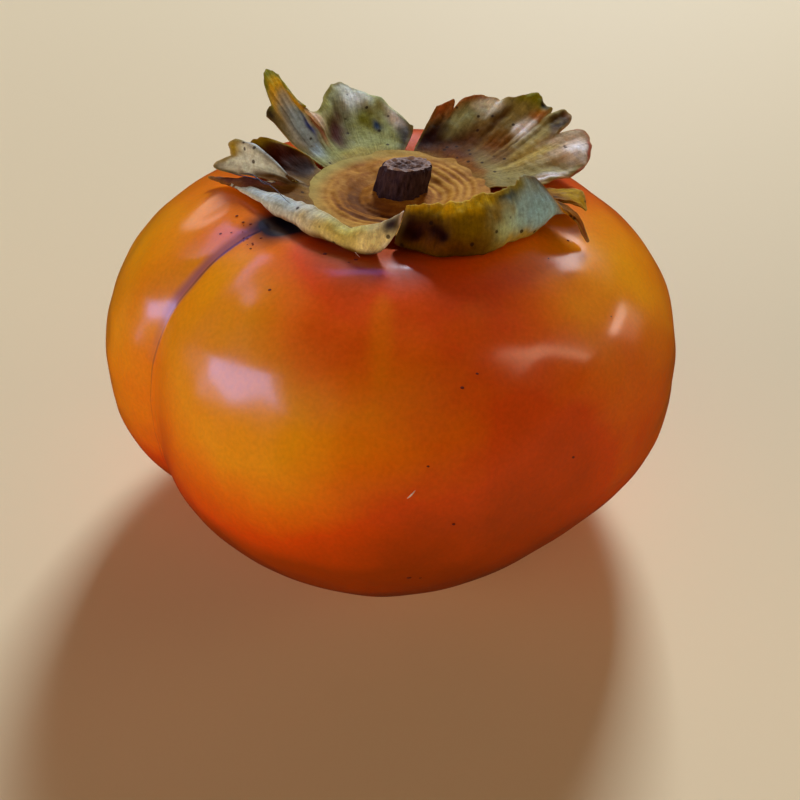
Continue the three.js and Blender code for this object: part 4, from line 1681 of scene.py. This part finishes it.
def calyx_strand(name: str, path: tuple[Row, ...], radius: float) -> Strand:
    """A thread over the calyx.

    Args:
        name: the piece's name.
        path: azimuths, distances and heights that it passes through.
        radius: half its thickness.

    Returns:
        The thread.
    """
    knots = np.array(path, float)[:, None]
    stops = 40
    share = np.linspace(0, 1, stops)
    way = through_net(np.concatenate([knots, knots], 1), share, 0 * share)
    return Strand(name, "sepal", calyx_points(way), radius)


# Azimuths, distances and heights that the loose hairs pass through.
HAIRS = {
    "hair_long": ((177, 21.2, 4.0), (186, 19.4, 5.0), (193, 16.8, 5.2), (203, 15.6, 5.2), (216, 15.2, 4.8)),
    "hair_short": ((186, 19.0, 5.2), (192, 17.6, 5.8), (197, 16.4, 5.2), (201, 15.4, 5.8)),
}


# ---------------------------------------------------------------- studio
class Reach(Enum):
    """What a light does: light everything, only shine off surfaces, or only fill shadows."""

    ALL = 0
    SHINE = 1
    FILL = 2


@dataclass(frozen=True)
class Window:
    """A soft rectangular light, by its direction from the fruit and the angles that it spans."""

    name: str
    azimuth: float
    elevation: float
    span: tuple[float, float]
    radiance: float
    colour: str = "#ffffff"
    roll: float = 0.0
    distance: float = 1.5
    reach: Reach = Reach.ALL

    def build(self, aim: Vector) -> None:
        """Hangs the light.

        Args:
            aim: the point that it is turned to, in metres.
        """
        light = bpy.data.lights.new(self.name, "AREA")
        light.shape = "RECTANGLE"
        light.size, light.size_y = (2 * self.distance * math.tan(math.radians(a / 2)) for a in self.span)
        light.energy = self.radiance * math.pi * light.size * light.size_y
        light.color = linear(self.colour)[:3]
        lamp = bpy.data.objects.new(self.name, light)
        turn, rise = math.radians(self.azimuth), math.radians(self.elevation)
        away = Vector((math.cos(turn) * math.cos(rise), math.sin(turn) * math.cos(rise), math.sin(rise)))
        lamp.location = aim + away * self.distance
        spin = Quaternion(away, math.radians(self.roll))
        lamp.rotation_euler = (spin @ away.to_track_quat("Z", "Y")).to_euler()
        lamp.visible_diffuse = self.reach is not Reach.SHINE
        lamp.visible_glossy = self.reach is not Reach.FILL
        bpy.context.scene.collection.objects.link(lamp)


@dataclass(frozen=True)
class PaintedBoard:
    """A board under pale matt paint, which scatters light evenly."""

    tone: str = "#ecdeb6"
    roughness: float = 0.7

    def make(self) -> Material:
        """Builds the material."""
        surface = {"Base Color": linear(self.tone), "Roughness": self.roughness}
        return new_material("painted_board", {**surface, "IOR": 1.5, "Specular IOR Level": 0.2})[0]


@dataclass
class Studio:
    """A pale floor, daylight windows and the camera."""

    eye: Row = (1.087, -97.217, 97.954)
    pitch: float = 49.5
    lens: float = 38.25
    sensor: float = 36.0
    nearest: float = 5.0
    aim: Row = (0.0, 0.0, 30.0)
    board: float = 1500.0
    sky: str = "#ffb080"
    sky_strength: float = 0.03
    windows: tuple[Window, ...] = (
        Window("window_back", 77, 38, (13, 12), 67, "#e6efff", distance=2.2),
        Window("edge_shine", 40, 35, (14, 12), 9, "#fff0f0", reach=Reach.SHINE),
        Window("left_shine", 197, 24, (34, 16), 9.5, "#8cb0ff", roll=35, reach=Reach.SHINE),
        Window("left_haze", 197, 23, (48, 24), 1.8, "#a0b4ff", roll=35, reach=Reach.SHINE),
        Window("side_shine", 138, 41, (26, 10), 4, "#9c98ff", reach=Reach.SHINE),
        Window("high_shine", 99, 51, (13, 8), 3.2, "#9890ff", reach=Reach.SHINE),
        Window("low_shine", 124, 22, (12, 8), 2.6, "#ffe4dc", reach=Reach.SHINE),
        Window("pane_high", 343, 36, (3.2, 22), 10, "#ffd8b0", reach=Reach.SHINE),
        Window("pane_low", 348, 27, (3.2, 20), 10, "#ffd8b0", reach=Reach.SHINE),
        Window("far_shine", 12, 14, (10, 8), 9, "#ffe0d0", reach=Reach.SHINE),
        Window("left_fill", 202, 11, (50, 18), 5.2, "#ffd8b4", reach=Reach.FILL),
        Window("right_fill", 2, 13, (26, 18), 3.8, "#ffd8b4", reach=Reach.FILL),
        Window("front_fill", 270, 36, (60, 36), 0.74, "#ffd8b4", reach=Reach.FILL),
    )

    def build(self) -> None:
        """Makes the camera, lights, floor and surroundings."""
        scene = bpy.context.scene
        camera = bpy.data.objects.new("camera", bpy.data.cameras.new("camera"))
        camera.data.lens, camera.data.sensor_width = self.lens, self.sensor
        camera.data.clip_start = self.nearest * MM
        camera.location = [v * MM for v in self.eye]
        camera.rotation_euler = (math.radians(self.pitch), 0, 0)
        scene.collection.objects.link(camera)
        scene.camera = camera
        for window in self.windows:
            window.build(Vector([v * MM for v in self.aim]))
        scene.view_settings.view_transform = "Standard"
        scene.world = bpy.data.worlds.new("surroundings")
        scene.world.use_nodes = True
        background = scene.world.node_tree.nodes["Background"]
        background.inputs["Color"].default_value = linear(self.sky)
        background.inputs["Strength"].default_value = self.sky_strength
        corners = np.array([[-1, -1, 0], [1, -1, 0], [1, 1, 0], [-1, 1, 0]]) * self.board
        floor = new_mesh("floor", corners, [np.array([[0, 1, 2, 3]])])
        floor.data.materials.append(PaintedBoard().make())
        floor.visible_glossy = False  # keeps the haze of the board off the wax


def main() -> None:
    """Builds the persimmon and its studio in order and reports each piece."""
    logging.basicConfig(level=logging.INFO, format="%(message)s")
    Studio().build()
    fruit = Fruit()
    fruit.build(PersimmonSkin().make())
    leaf = DriedSepal().make()
    for sepal in SEPALS:
        sepal.build(fruit, leaf)
    CalyxDisc().build(CorkyDisc().make())
    bark = DeadBark().make()
    StalkStub().build(bark)
    Flecks().build(fruit, CorkFleck().make())
    pale = LooseFibre("pale_lint", "#e8d8c8").make()
    skin_strand(fruit, "lint_front", ((272.2, 15.2), (273.6, 16.9)), radius=0.09, lift=0.1).build(pale)
    skin_strand(fruit, "lint_top", ((244, 76), (250, 74), (258, 71)), radius=0.06, lift=0.5).build(pale)
    dark = LooseFibre("dark_fibre", "#2c1c14").make()
    for name, path in HAIRS.items():
        calyx_strand(name, path, radius=0.07).build(dark)
    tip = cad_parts["blossom_tip"]
    tip.data.materials.clear()
    tip.data.materials.append(bark)


if __name__ == "__main__":
    main()
